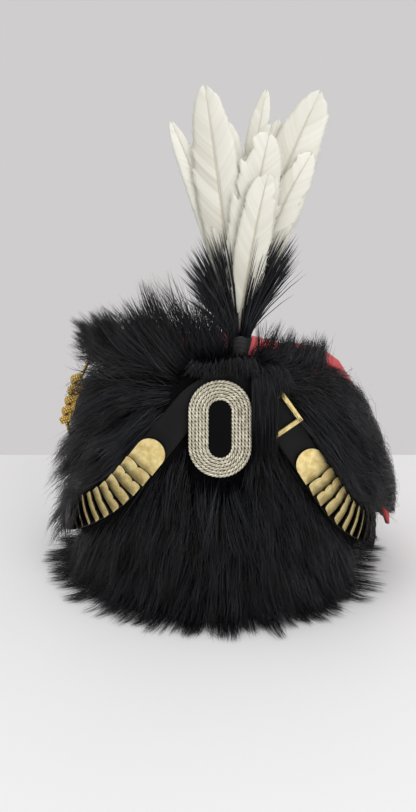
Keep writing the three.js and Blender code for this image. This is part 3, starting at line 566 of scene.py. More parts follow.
fall_points, fall_angle, fall_root = fall_points[~tucked], fall_angle[~tucked], fall_root[~tucked]
fall_count = len(fall_angle)
fall_radii = chance.uniform(0.16, 0.26, fall_count)[:, None] * np.array([[1, 1, 0.9, 0.6, 0]])
fall_facing = way_out(fall_angle, fall_root)
# Random tone, with paler hairs as painted highlight streaks.
fall_tones = np.clip(chance.random(fall_count) ** 2.6, 0, 1)
fur_pieces.append(spikes("fur_over_strap", fall_points, fall_radii, fall_facing, tone=fall_tones))

# On the viewer's right, hair from just above the strap hangs close over the scales' far end.
end_count = 1300
end_turn = chance.uniform(50, 104, end_count)
end_level = strap_level(end_turn)
end_out = np.interp(end_turn, strap_angles, strap_outs)
end_stand = chance.uniform(3, 7, end_count)
end_drift = chance.uniform(0, 6, end_count)
end_drop = chance.uniform(12, 26, end_count)
end_turns = end_turn + np.outer([0, 0.2, 0.6, 1], end_drift)
end_root = end_level + chance.uniform(11, 22, end_count)
end_heights = np.stack([end_root, end_level + 9, end_level - 6, end_level - end_drop])
end_outs = np.stack([end_out - 5, end_out + end_stand + 4, end_out + end_stand + 3, end_out + end_stand])
end_points = skin(
    strap_apex + end_turns.T @ weights, np.maximum(end_heights.T @ weights, 2), end_outs.T @ weights
)
end_radii = chance.uniform(0.18, 0.28, end_count)[:, None] * np.array([[1, 1, 0.9, 0.6, 0]])
end_facing = end_points[:, 2] - skin(strap_apex + end_turn, end_level, np.zeros(end_count))
# Random tone, with paler hairs as painted highlight streaks.
end_tones = np.clip(chance.random(end_count) ** 2.6, 0, 1)
fur_pieces.append(spikes("fur_over_scales", end_points, end_radii, end_facing, tone=end_tones))
for hairs in fur_pieces:
    hairs.data.materials.append(fur_hair)
    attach(hairs, "root")
    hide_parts("fur")


# Bag: a bag of red woollen cloth, sewn into the crown's top rim. It puffs up a little over the
# top, and its long end falls over the viewer's right side in soft folds to a blunt point.
bag_puff = 12
bag_rim_width, bag_rim_depth = 79.3, 90.3
bag_thickness = 0.0016
bag_rows, bag_columns = 30, 45

across = np.linspace(-1, 1, bag_columns)
top_rows = []
for turn_end in np.linspace(174, 44, bag_rows):
    share = (174 - turn_end) / 130
    end_along, end_across = math.cos(math.radians(turn_end)), math.sin(math.radians(turn_end))
    bulge = mix(-0.998, 1, share) - end_along
    along_bag = end_along + bulge * (1 - across**2)
    across_bag = end_across * across
    reach = np.minimum(np.hypot(along_bag, across_bag), 1)
    turn = bag_middle + np.degrees(np.arctan2(across_bag, along_bag))
    pleats = 0.9 * np.sin(np.radians(turn) * 17) * reach**3 * (1 - reach) * 4
    crease = 1.5 * np.sin(along_bag * 6 + across_bag * 2.2) * (1 - reach**2)
    rise = 0.9 + bag_puff * (1 - reach**2) + pleats + crease
    flat_x = bag_rim_width * reach * np.sin(np.radians(turn))
    flat_y = -bag_rim_depth * reach * np.cos(np.radians(turn))
    flat_z = crown_top + rise - top_fall * flat_x / bag_rim_width
    top_rows.append(np.stack([flat_x, flat_y, flat_z], axis=1))
for share in np.linspace(0, 1, 36):
    height = mix(bag_heights[-1], bag_heights[0], share)
    out = np.interp(height, bag_heights, bag_outs)
    half_angle = np.interp(height, bag_heights, bag_half_angles)
    turn = bag_middle + half_angle * across
    swell = math.sin(math.pi * min(1, share * 1.15))
    folds = 1.6 * np.sin(across * 5.5 + 2.2 * share) * swell * (1 - 0.5 * share)
    tuck = -2.2 * across**6 * (1 - share)
    top_rows.append(skin(turn, np.full(bag_columns, height) + 0.8 * np.cos(across * 3), out + folds + tuck))
grid = np.array(top_rows)
count_rows = len(grid)
index = np.arange(count_rows * bag_columns).reshape(count_rows, bag_columns)
corner = [index[:-1, :-1], index[:-1, 1:], index[1:, 1:], index[1:, :-1]]
triangles = np.concatenate(
    [
        np.stack([corner[0], corner[2], corner[1]], axis=-1).reshape(-1, 3),
        np.stack([corner[0], corner[3], corner[2]], axis=-1).reshape(-1, 3),
    ]
)
bag = mesh_piece("bag_cloth", grid.reshape(-1, 3), triangles)
bpy.context.view_layer.objects.active = bag
bag.select_set(True)
bpy.ops.object.mode_set(mode="EDIT")
bpy.ops.mesh.select_all(action="SELECT")
bpy.ops.mesh.normals_make_consistent(inside=False)
bpy.ops.object.mode_set(mode="OBJECT")
thick = bag.modifiers.new("cloth", "SOLIDIFY")
thick.thickness = bag_thickness
thick.offset = -1
bpy.ops.object.modifier_apply(modifier="cloth")

# Fulled woollen cloth in scarlet: a matt nap with a faint bloom, darker in its folds.
scarlet, tree = new_material("scarlet_woollen_cloth")
place = add_node(tree, "ShaderNodeTexCoord")
nap = add_node(
    tree, "ShaderNodeTexNoise", None, {"Scale": 1400, "Detail": 3}, {"Vector": place.outputs["Object"]}
)
patches = add_node(
    tree, "ShaderNodeTexNoise", None, {"Scale": 60, "Detail": 3}, {"Vector": place.outputs["Object"]}
)
mottle = add_node(
    tree, "ShaderNodeMath", {"operation": "ADD"}, None, {0: nap.outputs["Fac"], 1: patches.outputs["Fac"]}
)
shade = add_node(tree, "ShaderNodeValToRGB", None, None, {"Fac": mottle.outputs["Value"]})
shade.color_ramp.elements[0].position = 0.55
shade.color_ramp.elements[0].color = linear("#8f161d")
shade.color_ramp.elements[1].position = 1.0
shade.color_ramp.elements[1].color = linear("#b9232a")
relief = add_node(
    tree, "ShaderNodeBump", None, {"Strength": 0.35, "Distance": 0.0003}, {"Height": nap.outputs["Fac"]}
)
shader = add_node(
    tree,
    "ShaderNodeBsdfPrincipled",
    None,
    {"Roughness": 0.9, "Sheen Weight": 0.15, "Sheen Roughness": 0.5, "Specular IOR Level": 0.25},
    {"Base Color": shade.outputs["Color"], "Normal": relief.outputs["Normal"]},
)
add_node(tree, "ShaderNodeOutputMaterial", None, None, {"Surface": shader.outputs["BSDF"]})
bag.data.materials.append(scarlet)
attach(bag, "root")
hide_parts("bag")
bpy.ops.object.select_all(action="DESELECT")


# Chin strap: a band of black leather with plain cut edges, a whole loop, pulled up over the front.
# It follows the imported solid, with its corners rubbed round.
def solid_copy(node_name, piece_name):
    """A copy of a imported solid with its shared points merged, ready to be worked on."""
    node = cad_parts[node_name]
    piece = node.copy()
    piece.data = node.data.copy()
    piece.name = piece.data.name = piece_name
    bpy.context.collection.objects.link(piece)
    piece.hide_render = piece.hide_viewport = False
    bpy.ops.object.select_all(action="DESELECT")
    bpy.context.view_layer.objects.active = piece
    piece.select_set(True)
    bpy.ops.object.mode_set(mode="EDIT")
    bpy.ops.mesh.select_all(action="SELECT")
    bpy.ops.mesh.remove_doubles(threshold=0.00002)
    bpy.ops.mesh.tris_convert_to_quads()
    bpy.ops.mesh.normals_make_consistent(inside=False)
    bpy.ops.object.mode_set(mode="OBJECT")
    piece.data.materials.clear()
    return piece


def round_edges(piece, width, segments, angle):
    """Rounds a piece's sharp edges by a width in millimetres."""
    bevel = piece.modifiers.new("edges", "BEVEL")
    bevel.width = width * 0.001
    bevel.segments = segments
    bevel.limit_method = "ANGLE"
    bevel.angle_limit = math.radians(angle)
    bpy.ops.object.modifier_apply(modifier="edges")


# Waxed black leather: a fine pebbled grain, a dull shine and faint greyer rubbing.
leather, tree = new_material("waxed_black_leather")
place = add_node(tree, "ShaderNodeTexCoord")
pebbles = add_node(
    tree, "ShaderNodeTexVoronoi", {"feature": "F1"}, {"Scale": 1100}, {"Vector": place.outputs["Object"]}
)
wear = add_node(
    tree, "ShaderNodeTexNoise", None, {"Scale": 45, "Detail": 6}, {"Vector": place.outputs["Object"]}
)
shade = add_node(tree, "ShaderNodeValToRGB", None, None, {"Fac": wear.outputs["Fac"]})
shade.color_ramp.elements[0].position = 0.35
shade.color_ramp.elements[0].color = linear("#09090a")
shade.color_ramp.elements[1].position = 0.75
shade.color_ramp.elements[1].color = linear("#141415")
dullness = add_node(
    tree, "ShaderNodeMapRange", None, {"To Min": 0.42, "To Max": 0.62}, {"Value": wear.outputs["Fac"]}
)
relief = add_node(
    tree,
    "ShaderNodeBump",
    None,
    {"Strength": 0.25, "Distance": 0.0002},
    {"Height": pebbles.outputs["Distance"]},
)
shader = add_node(
    tree,
    "ShaderNodeBsdfPrincipled",
    None,
    {"Specular IOR Level": 0.16},
    {
        "Base Color": shade.outputs["Color"],
        "Roughness": dullness.outputs["Result"],
        "Normal": relief.outputs["Normal"],
    },
)
add_node(tree, "ShaderNodeOutputMaterial", None, None, {"Surface": shader.outputs["BSDF"]})

# The cut edge of the hide, stained brown and unpolished.
cut_edge, tree = new_material("stained_leather_edge")
place = add_node(tree, "ShaderNodeTexCoord")
fibres = add_node(
    tree, "ShaderNodeTexNoise", None, {"Scale": 1500, "Detail": 3}, {"Vector": place.outputs["Object"]}
)
shade = add_node(tree, "ShaderNodeValToRGB", None, None, {"Fac": fibres.outputs["Fac"]})
shade.color_ramp.elements[0].color = linear("#1d1610")
shade.color_ramp.elements[1].color = linear("#4a3826")
shader = add_node(
    tree, "ShaderNodeBsdfPrincipled", None, {"Roughness": 0.8}, {"Base Color": shade.outputs["Color"]}
)
add_node(tree, "ShaderNodeOutputMaterial", None, None, {"Surface": shader.outputs["BSDF"]})

brow_width, brow_depth = crown_half_widths[0], crown_half_depths[0]
strap = solid_copy("strap", "chin_strap")
round_edges(strap, 0.5, 2, 35)
smooth = strap.modifiers.new("curve", "SUBSURF")
smooth.levels = smooth.render_levels = 1
bpy.ops.object.modifier_apply(modifier="curve")
strap.data.materials.append(leather)
strap.data.materials.append(cut_edge)
for face in strap.data.polygons:
    looks_out = Vector((face.center.x / brow_width**2, face.center.y / brow_depth**2, 0)).normalized()
    face.material_index = 1 if abs(face.normal.dot(looks_out)) < 0.35 else 0
bpy.ops.object.shade_smooth()
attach(strap, "root")
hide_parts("strap")


# Brass scales, end plates and buckle: stamped sheet brass, lacquered and now a little tarnished.
# Each scale is crowned across, has two or three lobes at its free edge, and laps over the one above.
scale_half = 10.25
scale_length = 12.5
scale_lobe = 2.4
scale_sheet = 0.8
scale_rise = 0.9
scale_spring = 6
plate_length = 21
plate_end_drop = 1.6
scales_each_side = 12


def plate_frame(node_name):
    """Where a flat plate of the strap lies: across, along to its free edge, outwards and its root."""
    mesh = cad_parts[node_name].data
    sizes = {}
    for face in mesh.polygons:
        key = tuple(round(value, 2) for value in face.normal)
        area, normal = sizes.get(key, (0, Vector()))
        sizes[key] = (area + face.area, normal + face.normal * face.area)
    middle = sum((vertex.co for vertex in mesh.vertices), Vector()) / len(mesh.vertices)
    by_size = sorted(sizes.values(), key=lambda item: -item[0])
    outward = by_size[0][1].normalized()
    if outward.x * middle.x / brow_width**2 + outward.y * middle.y / brow_depth**2 < 0:
        outward = -outward
    edges = [normal for area, normal in by_size if abs(normal.normalized().dot(outward)) < 0.1]
    along = -edges[0].normalized()
    across = along.cross(outward).normalized()
    low = min(vertex.co.dot(along) for vertex in mesh.vertices)
    sides = [vertex.co.dot(across) for vertex in mesh.vertices]
    base = min(vertex.co.dot(outward) for vertex in mesh.vertices)
    root = along * low + across * (min(sides) + max(sides)) / 2 + outward * base
    turn = Matrix((across, along, outward)).transposed().to_4x4()
    return Matrix.Translation(root) @ turn


def edge_of(lobes, x):
    """How far a plate reaches at a place across it: a round end, or two or three lobes."""
    if lobes == 1:
        return plate_length - scale_half + math.sqrt(max(scale_half**2 - x * x, 0.02))
    lobe = 2 * scale_half / lobes
    place = ((x + scale_half) / lobe) % 1
    place = 1 if x >= scale_half - 1e-6 else place
    return scale_length - scale_lobe + scale_lobe * (1 - abs(2 * place - 1) ** 2.4) ** 0.6


def crease_of(lobes, x):
    """The shallow groove that runs back from each notch between two lobes."""
    lobe = 2 * scale_half / max(lobes, 1)
    notches = [-scale_half + k * lobe for k in range(1, lobes)]
    return sum(0.3 * math.exp(-(((x - notch) / 1.1) ** 2)) for notch in notches)


# Lacquered brass gone pale and spotted: soft brushed lines, duller where it has tarnished.
brass, tree = new_material("tarnished_lacquered_brass")
place = add_node(tree, "ShaderNodeTexCoord")
stretched = add_node(
    tree, "ShaderNodeMapping", None, {"Scale": (40, 900, 40)}, {"Vector": place.outputs["UV"]}
)
brushing = add_node(
    tree, "ShaderNodeTexNoise", None, {"Scale": 1, "Detail": 3}, {"Vector": stretched.outputs["Vector"]}
)
tarnish = add_node(
    tree, "ShaderNodeTexNoise", None, {"Scale": 260, "Detail": 5}, {"Vector": place.outputs["Object"]}
)
shade = add_node(tree, "ShaderNodeValToRGB", None, None, {"Fac": tarnish.outputs["Fac"]})
shade.color_ramp.elements[0].position = 0.3
shade.color_ramp.elements[0].color = linear("#cbb068")
shade.color_ramp.elements[1].position = 0.62
shade.color_ramp.elements[1].color = linear("#ecd99c")
dullness = add_node(
    tree,
    "ShaderNodeMapRange",
    None,
    {"From Min": 0.3, "From Max": 0.7, "To Min": 0.55, "To Max": 0.38},
    {"Value": tarnish.outputs["Fac"]},
)
relief = add_node(
    tree, "ShaderNodeBump", None, {"Strength": 0.12, "Distance": 0.0001}, {"Height": brushing.outputs["Fac"]}
)
shader = add_node(
    tree,
    "ShaderNodeBsdfPrincipled",
    None,
    {"Metallic": 0.5},
    {
        "Base Color": shade.outputs["Color"],
        "Roughness": dullness.outputs["Result"],
        "Normal": relief.outputs["Normal"],
    },
)
add_node(tree, "ShaderNodeOutputMaterial", None, None, {"Surface": shader.outputs["BSDF"]})

# The backs and cut rims of the plates: rough, near black painted shade that darkens the gaps between the
# scales.
gap_shade_back, tree = new_material("painted_shade_brass_back")
place = add_node(tree, "ShaderNodeTexCoord")
soot = add_node(
    tree, "ShaderNodeTexNoise", None, {"Scale": 500, "Detail": 3}, {"Vector": place.outputs["Object"]}
)
shade = add_node(tree, "ShaderNodeValToRGB", None, None, {"Fac": soot.outputs["Fac"]})
shade.color_ramp.elements[0].color = linear("#060504")
shade.color_ramp.elements[1].color = linear("#1a150c")
shader = add_node(
    tree, "ShaderNodeBsdfPrincipled", None, {"Roughness": 0.8}, {"Base Color": shade.outputs["Color"]}
)
add_node(tree, "ShaderNodeOutputMaterial", None, None, {"Surface": shader.outputs["BSDF"]})

for side_name in ("left", "right"):
    for number in range(scales_each_side + 1):
        node_name = f"scale_{side_name}_{number}" if number else f"end_plate_{side_name}"
        lobes = 1 if number == 0 else 2 if number % 2 else 3
        bpy.ops.mesh.primitive_grid_add(x_subdivisions=36, y_subdivisions=10, size=2, calc_uvs=True)
        plate = bpy.context.object
        plate.name = plate.data.name = f"brass_{node_name}"
        for vertex in plate.data.vertices:
            x = vertex.co.x * scale_half
            share = (vertex.co.y + 1) / 2
            y = share * edge_of(lobes, x)
            past_middle = max(0, (y - plate_length + scale_half) / scale_half)
            end_drop = plate_end_drop * past_middle**2 if lobes == 1 else 0
            crown_z = scale_rise * (1 - vertex.co.x**2) - crease_of(lobes, x) * share**2 - end_drop
            vertex.co = Vector((x, y, max(crown_z, 0) + scale_sheet)) * 0.001
        plate.data.materials.append(brass)
        plate.data.materials.append(gap_shade_back)
        thick = plate.modifiers.new("sheet", "SOLIDIFY")
        thick.thickness = scale_sheet * 0.001
        thick.offset = -1
        # The backs and rims of each plate take the near-black painted shade.
        thick.material_offset = 1
        thick.material_offset_rim = 1
        bpy.ops.object.modifier_apply(modifier="sheet")
        round_edges(plate, 0.15, 1, 50)
        spring = Matrix.Rotation(math.radians(scale_spring if number else 0), 4, "X")
        plate.data.transform(plate_frame(node_name) @ spring)
        bpy.ops.object.shade_smooth_by_angle(angle=math.radians(40))
        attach(plate, "root")
        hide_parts(node_name)
        plate.select_set(False)

buckle = solid_copy("strap_buckle", "brass_buckle")
round_edges(buckle, 0.6, 3, 40)
bpy.ops.object.shade_smooth_by_angle(angle=math.radians(40))
buckle.data.materials.append(brass)
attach(buckle, "root")
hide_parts("strap_buckle")
bpy.ops.object.select_all(action="DESELECT")


# Cockade: a long oval board covered in black velvet, with six rows of two-ply silver cord sewn
# round it side by side. The board is sewn to the front of the pelt, over the strap.
cockade_at = (cockade_x, -110.35, 129.7)
cockade_tilt = 5
cockade_core = 22.4
cockade_hole = 7.2
cord_rows = 6
cord_pitch = 2.17
cord_lift = 3.4
ply_radius = 0.64
ply_offset = 0.54
ply_twist = 5


def tubes(name, paths, radius, sides, hint, closed):
    """One mesh of round tubes along paths in millimetres. It keeps the distance along each tube and
    the way round it, as a cosine and a sine, at its points."""
    points, triangles, along_values, cosines, sines = [], [], [], [], []
    start = 0
    corners = np.arange(sides) * 2 * np.pi / sides
    for path in paths:
        path = np.asarray(path, float)
        count = len(path)
        if closed:
            along = np.roll(path, -1, axis=0) - np.roll(path, 1, axis=0)
        else:
            along = np.gradient(path, axis=0)
        along /= np.linalg.norm(along, axis=1, keepdims=True)
        side = np.cross(along, hint)
        side /= np.linalg.norm(side, axis=1, keepdims=True)
        face = np.cross(along, side)
        size = np.broadcast_to(radius, (count,))
        wide, deep = np.cos(corners)[None, :, None], np.sin(corners)[None, :, None]
        ring = path[:, None, :] + size[:, None, None] * (wide * side[:, None, :] + deep * face[:, None, :])
        points.append(ring.reshape(-1, 3))
        travelled = np.concatenate([[0], np.cumsum(np.linalg.norm(np.diff(path, axis=0), axis=1))])
        along_values.append(np.repeat(travelled, sides))
        cosines.append(np.tile(np.cos(corners), count))
        sines.append(np.tile(np.sin(corners), count))
        rings = np.arange(count if closed else count - 1)
        for k in range(sides):
            a = start + rings * sides + k
            b = start + rings * sides + (k + 1) % sides
            c = start + ((rings + 1) % count) * sides + (k + 1) % sides
            d = start + ((rings + 1) % count) * sides + k
            triangles.append(np.stack([a, b, c], axis=1))
            triangles.append(np.stack([a, c, d], axis=1))
        if not closed:
            for k in range(1, sides - 1):
                triangles.append(np.array([[start, start + k + 1, start + k]]))
                end = start + (count - 1) * sides
                triangles.append(np.array([[end, end + k, end + k + 1]]))
        start += count * sides
    return mesh_piece(
        name,
        np.concatenate(points),
        np.concatenate(triangles),
        along=np.concatenate(along_values),
        around_cos=np.concatenate(cosines),
        around_sin=np.concatenate(sines),
    )


def stadium(radius, distance):
    """A point, and its outward way, on a long oval of straight sides and round ends."""
    straight = cockade_core
    bend = math.pi * radius
    distance = distance % (2 * straight + 2 * bend)
    x = np.select(
        [distance < straight, distance < straight + bend, distance < 2 * straight + bend],
        [
            np.full_like(distance, radius),
            radius * np.cos((distance - straight) / radius),
            np.full_like(distance, -radius),
        ],
        -radius * np.cos((distance - 2 * straight - bend) / radius),
    )
    y = np.select(
        [distance < straight, distance < straight + bend, distance < 2 * straight + bend],
        [
            distance - straight / 2,
            straight / 2 + radius * np.sin((distance - straight) / radius),
            straight / 2 - (distance - straight - bend),
        ],
        -straight / 2 - radius * np.sin((distance - 2 * straight - bend) / radius),
    )
    centre = np.clip(y, -straight / 2, straight / 2)
    outward = np.stack([x, y - centre], axis=-1) / radius
    return x, y, outward


tilt = math.radians(cockade_tilt)
cockade_out = np.array([0, -math.cos(tilt), math.sin(tilt)])
cockade_up = np.array([0, math.sin(tilt), math.cos(tilt)])
cockade_right = np.array([1.0, 0, 0])
ply_paths = []
for row in range(cord_rows):
    radius = cockade_hole + cord_pitch * (row + 0.5)
    around = 2 * cockade_core + 2 * math.pi * radius
    turns = round(around / ply_twist)
    distance = np.linspace(0, around, int(around / 0.55), endpoint=False)
    x, y, outward = stadium(radius, distance)
    for ply in range(2):
        phase = 2 * np.pi * turns * distance / around + np.pi * ply
        spread, lift = ply_offset * np.cos(phase), ply_offset * np.sin(phase)
        flat_x, flat_y = x + outward[:, 0] * spread, y + outward[:, 1] * spread
        ply_paths.append(
            np.array(cockade_at)
            + flat_x[:, None] * cockade_right
            + flat_y[:, None] * cockade_up
            + (cord_lift + lift)[:, None] * cockade_out
        )
cockade_cord = tubes("silver_cockade_cord", ply_paths, ply_radius, 6, cockade_out, True)

# Silver-gilt purl gone cream: wound wire with a soft metallic glint and darker hollows.
silver, tree = new_material("aged_silver_wire_cord")
along = add_node(tree, "ShaderNodeAttribute", {"attribute_name": "along"})
wraps = add_node(
    tree, "ShaderNodeMath", {"operation": "MULTIPLY"}, {1: 9.0}, {0: along.outputs["Fac"]}
)
wire = add_node(tree, "ShaderNodeMath", {"operation": "SINE"}, None, {0: wraps.outputs["Value"]})
place = add_node(tree, "ShaderNodeTexCoord")
spots = add_node(
    tree, "ShaderNodeTexNoise", None, {"Scale": 420, "Detail": 4}, {"Vector": place.outputs["Object"]}
)
shade = add_node(tree, "ShaderNodeValToRGB", None, None, {"Fac": spots.outputs["Fac"]})
shade.color_ramp.elements[0].position = 0.3
shade.color_ramp.elements[0].color = linear("#a39c88")
shade.color_ramp.elements[1].position = 0.65
shade.color_ramp.elements[1].color = linear("#e2ddcb")
relief = add_node(
    tree, "ShaderNodeBump", None, {"Strength": 0.3, "Distance": 0.0001}, {"Height": wire.outputs["Value"]}
)
shader = add_node(
    tree,
    "ShaderNodeBsdfPrincipled",
    None,
    {"Metallic": 0.55, "Roughness": 0.42},
    {"Base Color": shade.outputs["Color"], "Normal": relief.outputs["Normal"]},
)
add_node(tree, "ShaderNodeOutputMaterial", None, None, {"Surface": shader.outputs["BSDF"]})
cockade_cord.data.materials.append(silver)
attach(cockade_cord, "root")
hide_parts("cockade_cord")

# Cotton velvet: nearly black, with a short pile that pales only where it is seen edge-on.
velvet, tree = new_material("black_cotton_velvet")
place = add_node(tree, "ShaderNodeTexCoord")
pile = add_node(
    tree, "ShaderNodeTexNoise", None, {"Scale": 1600, "Detail": 2}, {"Vector": place.outputs["Object"]}
)
shade = add_node(tree, "ShaderNodeValToRGB", None, None, {"Fac": pile.outputs["Fac"]})
shade.color_ramp.elements[0].color = linear("#040405")
shade.color_ramp.elements[1].color = linear("#101012")
relief = add_node(
    tree, "ShaderNodeBump", None, {"Strength": 0.5, "Distance": 0.0003}, {"Height": pile.outputs["Fac"]}
)
shader = add_node(
    tree,
    "ShaderNodeBsdfPrincipled",
    None,
    {"Roughness": 1, "Specular IOR Level": 0.05, "Sheen Weight": 0.04},
    {"Base Color": shade.outputs["Color"], "Normal": relief.outputs["Normal"]},
)
add_node(tree, "ShaderNodeOutputMaterial", None, None, {"Surface": shader.outputs["BSDF"]})
board = solid_copy("cockade_board", "velvet_cockade_board")
round_edges(board, 0.5, 2, 40)
bpy.ops.object.shade_smooth_by_angle(angle=math.radians(40))
board.data.materials.append(velvet)
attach(board, "root")
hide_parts("cockade_board")
bpy.ops.object.select_all(action="DESELECT")


# Plume: white feathers with a tuft of stiff black hair round their quills, bound with black thread
# on a stem that goes down in front of the crown.
feather_root = 190
feather_table = [
    # tip sideways, tip forwards, tip height, width, bow
    (-43, 3, 319, 15, 3),
    (-29, 8, 312, 13, 2),
    (-22, -4, 338, 27, -3),
    (-8, 1, 318, 22, -2),
    (16, 9, 338, 13, -5),
    (24, 11, 321, 20, -4),
    (49, 6, 337, 31, -5),
    (44, 1, 300, 24, -5),
    (17, -7, 310, 28, -3),
    (16, -13, 286, 20, -1),
]
quill_start, quill_end = 0.7, 0.14
tuft_foot, tuft_foot_radius, tuft_rise = 186, 6.6, 63
wrap_turns, wrap_steps = 19, 22
vane_share = [0, 0.1, 0.22, 0.35, 0.48, 0.62, 0.74, 0.85, 0.93, 0.98, 1]
vane_width = [0.3, 0.56, 0.8, 0.95, 1.02, 1.02, 0.96, 0.82, 0.58, 0.32, 0.06]
barb_count, barb_steps = 90, 7
front = np.array([0, -1.0, 0])
vane_points, vane_triangles, vane_tones = [], [], []
fringe_paths, fringe_tones, shaft_paths = [], [], []
cell = np.arange(barb_count * barb_steps).reshape(barb_count, barb_steps)
corner = [cell[:-1, :-1], cell[:-1, 1:], cell[1:, 1:], cell[1:, :-1]]
vane_cells = np.concatenate(
    [
        np.stack([corner[0], corner[1], corner[2]], axis=-1).reshape(-1, 3),
        np.stack([corner[0], corner[2], corner[3]], axis=-1).reshape(-1, 3),
    ]
)


def bowed(first, bend, last, share):
    """Points on a curve from one point to another, drawn towards a third."""
    return (1 - share) ** 2 * first + 2 * share * (1 - share) * bend + share**2 * last


for tip_x, tip_y, tip_height, width, bow in feather_table:
    root = np.array([plume_x + 0.03 * tip_x, plume_y + 0.1 * tip_y, feather_root])
    tip = np.array([plume_x + tip_x, plume_y + tip_y, tip_height])
    bend = (root + tip) / 2 + np.array([bow - 0.12 * tip_x, 0.5 * tip_y, 6])
    reach = np.linalg.norm(tip - root)
    roll = chance.uniform(-0.3, 0.3)

    def shaft(share):
        return bowed(root, bend, tip, np.asarray(share)[..., None])

    def shaft_way(share):
        share = np.asarray(share)[..., None]
        way = 2 * (1 - share) * (bend - root) + 2 * share * (tip - bend)
        return way / np.linalg.norm(way, axis=-1, keepdims=True)

    shaft_paths.append(shaft(np.linspace(0, 0.97, 15)) + 0.25 * front)
    for hand in (-1, 1):
        edge_share = np.linspace(0.04, 1.0, barb_count)
        half = np.interp(edge_share, vane_share, vane_width) * width / 2
        groups = np.cumsum(chance.random(barb_count) < 0.13)
        group_length = 1 + (0.04 + 0.1 * edge_share**3) * chance.normal(0, 1, groups[-1] + 1)[groups]
        begin_share = np.clip(edge_share - half * 1.3 / reach, 0.005, 0.985)
        begin = shaft(begin_share)
        way = shaft_way(edge_share)
        side = np.cross(front, way)
        side = side / np.linalg.norm(side, axis=1, keepdims=True) + roll * front
        end = shaft(edge_share) + hand * side * half[:, None]
        end = begin + (end - begin) * (group_length * chance.uniform(0.98, 1.02, barb_count))[:, None]
        control = begin + 0.35 * (end - begin) + hand * side * (0.16 * half)[:, None]
        control += front * (0.16 * half)[:, None]
        share = np.linspace(0, 1, barb_steps)[None, :, None]
        path = bowed(begin[:, None], control[:, None], end[:, None], share)
        order = vane_cells if hand < 0 else vane_cells[:, ::-1]
        vane_triangles.append(order + len(vane_points) * barb_count * barb_steps)
        vane_points.append(path.reshape(-1, 3))
        # Tone rises from root to tip: painted shade near the root, with random changes per barb group and
        # barb.
        tone = 0.3 + 0.55 * edge_share + chance.normal(0, 0.08, groups[-1] + 1)[groups]
        tone = tone + chance.normal(0, 0.05, barb_count)
        vane_tones.append(np.repeat(tone, barb_steps))
        frayed = chance.random(barb_count) < 0.55
        start, finish = path[frayed, -3], path[frayed, -1]
        beyond = chance.uniform(0.15, 0.6, frayed.sum())[:, None] * (finish - start)
        fringe_paths.append(np.stack([start, (start + finish) / 2, finish, finish + beyond], axis=1))
        fringe_tones.append(tone[frayed])
vanes = mesh_piece(
    "plume_feather_vanes",
    np.concatenate(vane_points),
    np.concatenate(vane_triangles),
    tone=np.clip(np.concatenate(vane_tones), 0, 1),
)
bpy.context.view_layer.objects.active = vanes
vanes.select_set(True)
thick = vanes.modifiers.new("vane", "SOLIDIFY")
thick.thickness = 0.00035
thick.offset = 0
bpy.ops.object.modifier_apply(modifier="vane")
vanes.select_set(False)
fringe_paths = np.concatenate(fringe_paths)
fringe = spikes(
    "plume_feather_fringe",
    fringe_paths,
    np.tile(np.array([[0.3, 0.34, 0.26, 0.0]]), (len(fringe_paths), 1)),
    np.tile(front, (len(fringe_paths), 1)),
    0.5,
    tone=np.clip(np.concatenate(fringe_tones), 0, 1),
)
quills = tubes("plume_feather_quills", shaft_paths, np.linspace(quill_start, quill_end, 15), 6, front, False)

# Bleached goose feather: soft cream white, with greyer and warmer barbs at random, and painted shade that
# darkens each vane towards its root.
vane, tree = new_material("bleached_white_feather")
tone = add_node(tree, "ShaderNodeAttribute", {"attribute_name": "tone"})
shade = add_node(tree, "ShaderNodeValToRGB", None, None, {"Fac": tone.outputs["Fac"]})
shade.color_ramp.elements[0].color = linear("#a9a592")
shade.color_ramp.elements[1].color = linear("#e4e3d9")
shader = add_node(
    tree,
    "ShaderNodeBsdfPrincipled",
    None,
    {"Roughness": 0.75, "Specular IOR Level": 0.2, "Sheen Weight": 0.1},
    {"Base Color": shade.outputs["Color"]},
)
add_node(tree, "ShaderNodeOutputMaterial", None, None, {"Surface": shader.outputs["BSDF"]})
vanes.data.materials.append(vane)
fringe.data.materials.append(vane)

# The quills' horn: ivory coloured and slightly shiny.
horn, tree = new_material("ivory_quill_horn")
along = add_node(tree, "ShaderNodeAttribute", {"attribute_name": "along"})
fade = add_node(tree, "ShaderNodeMapRange", None, {"From Max": 130.0}, {"Value": along.outputs["Fac"]})
shade = add_node(tree, "ShaderNodeValToRGB", None, None, {"Fac": fade.outputs["Result"]})
shade.color_ramp.elements[0].color = linear("#b3ac90")
shade.color_ramp.elements[1].color = linear("#d6d2c2")
shader = add_node(
    tree, "ShaderNodeBsdfPrincipled", None, {"Roughness": 0.45}, {"Base Color": shade.outputs["Color"]}
)
add_node(tree, "ShaderNodeOutputMaterial", None, None, {"Surface": shader.outputs["BSDF"]})
quills.data.materials.append(horn)
for piece in (vanes, fringe, quills):
    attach(piece, "root")
    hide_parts("plume_feathers")

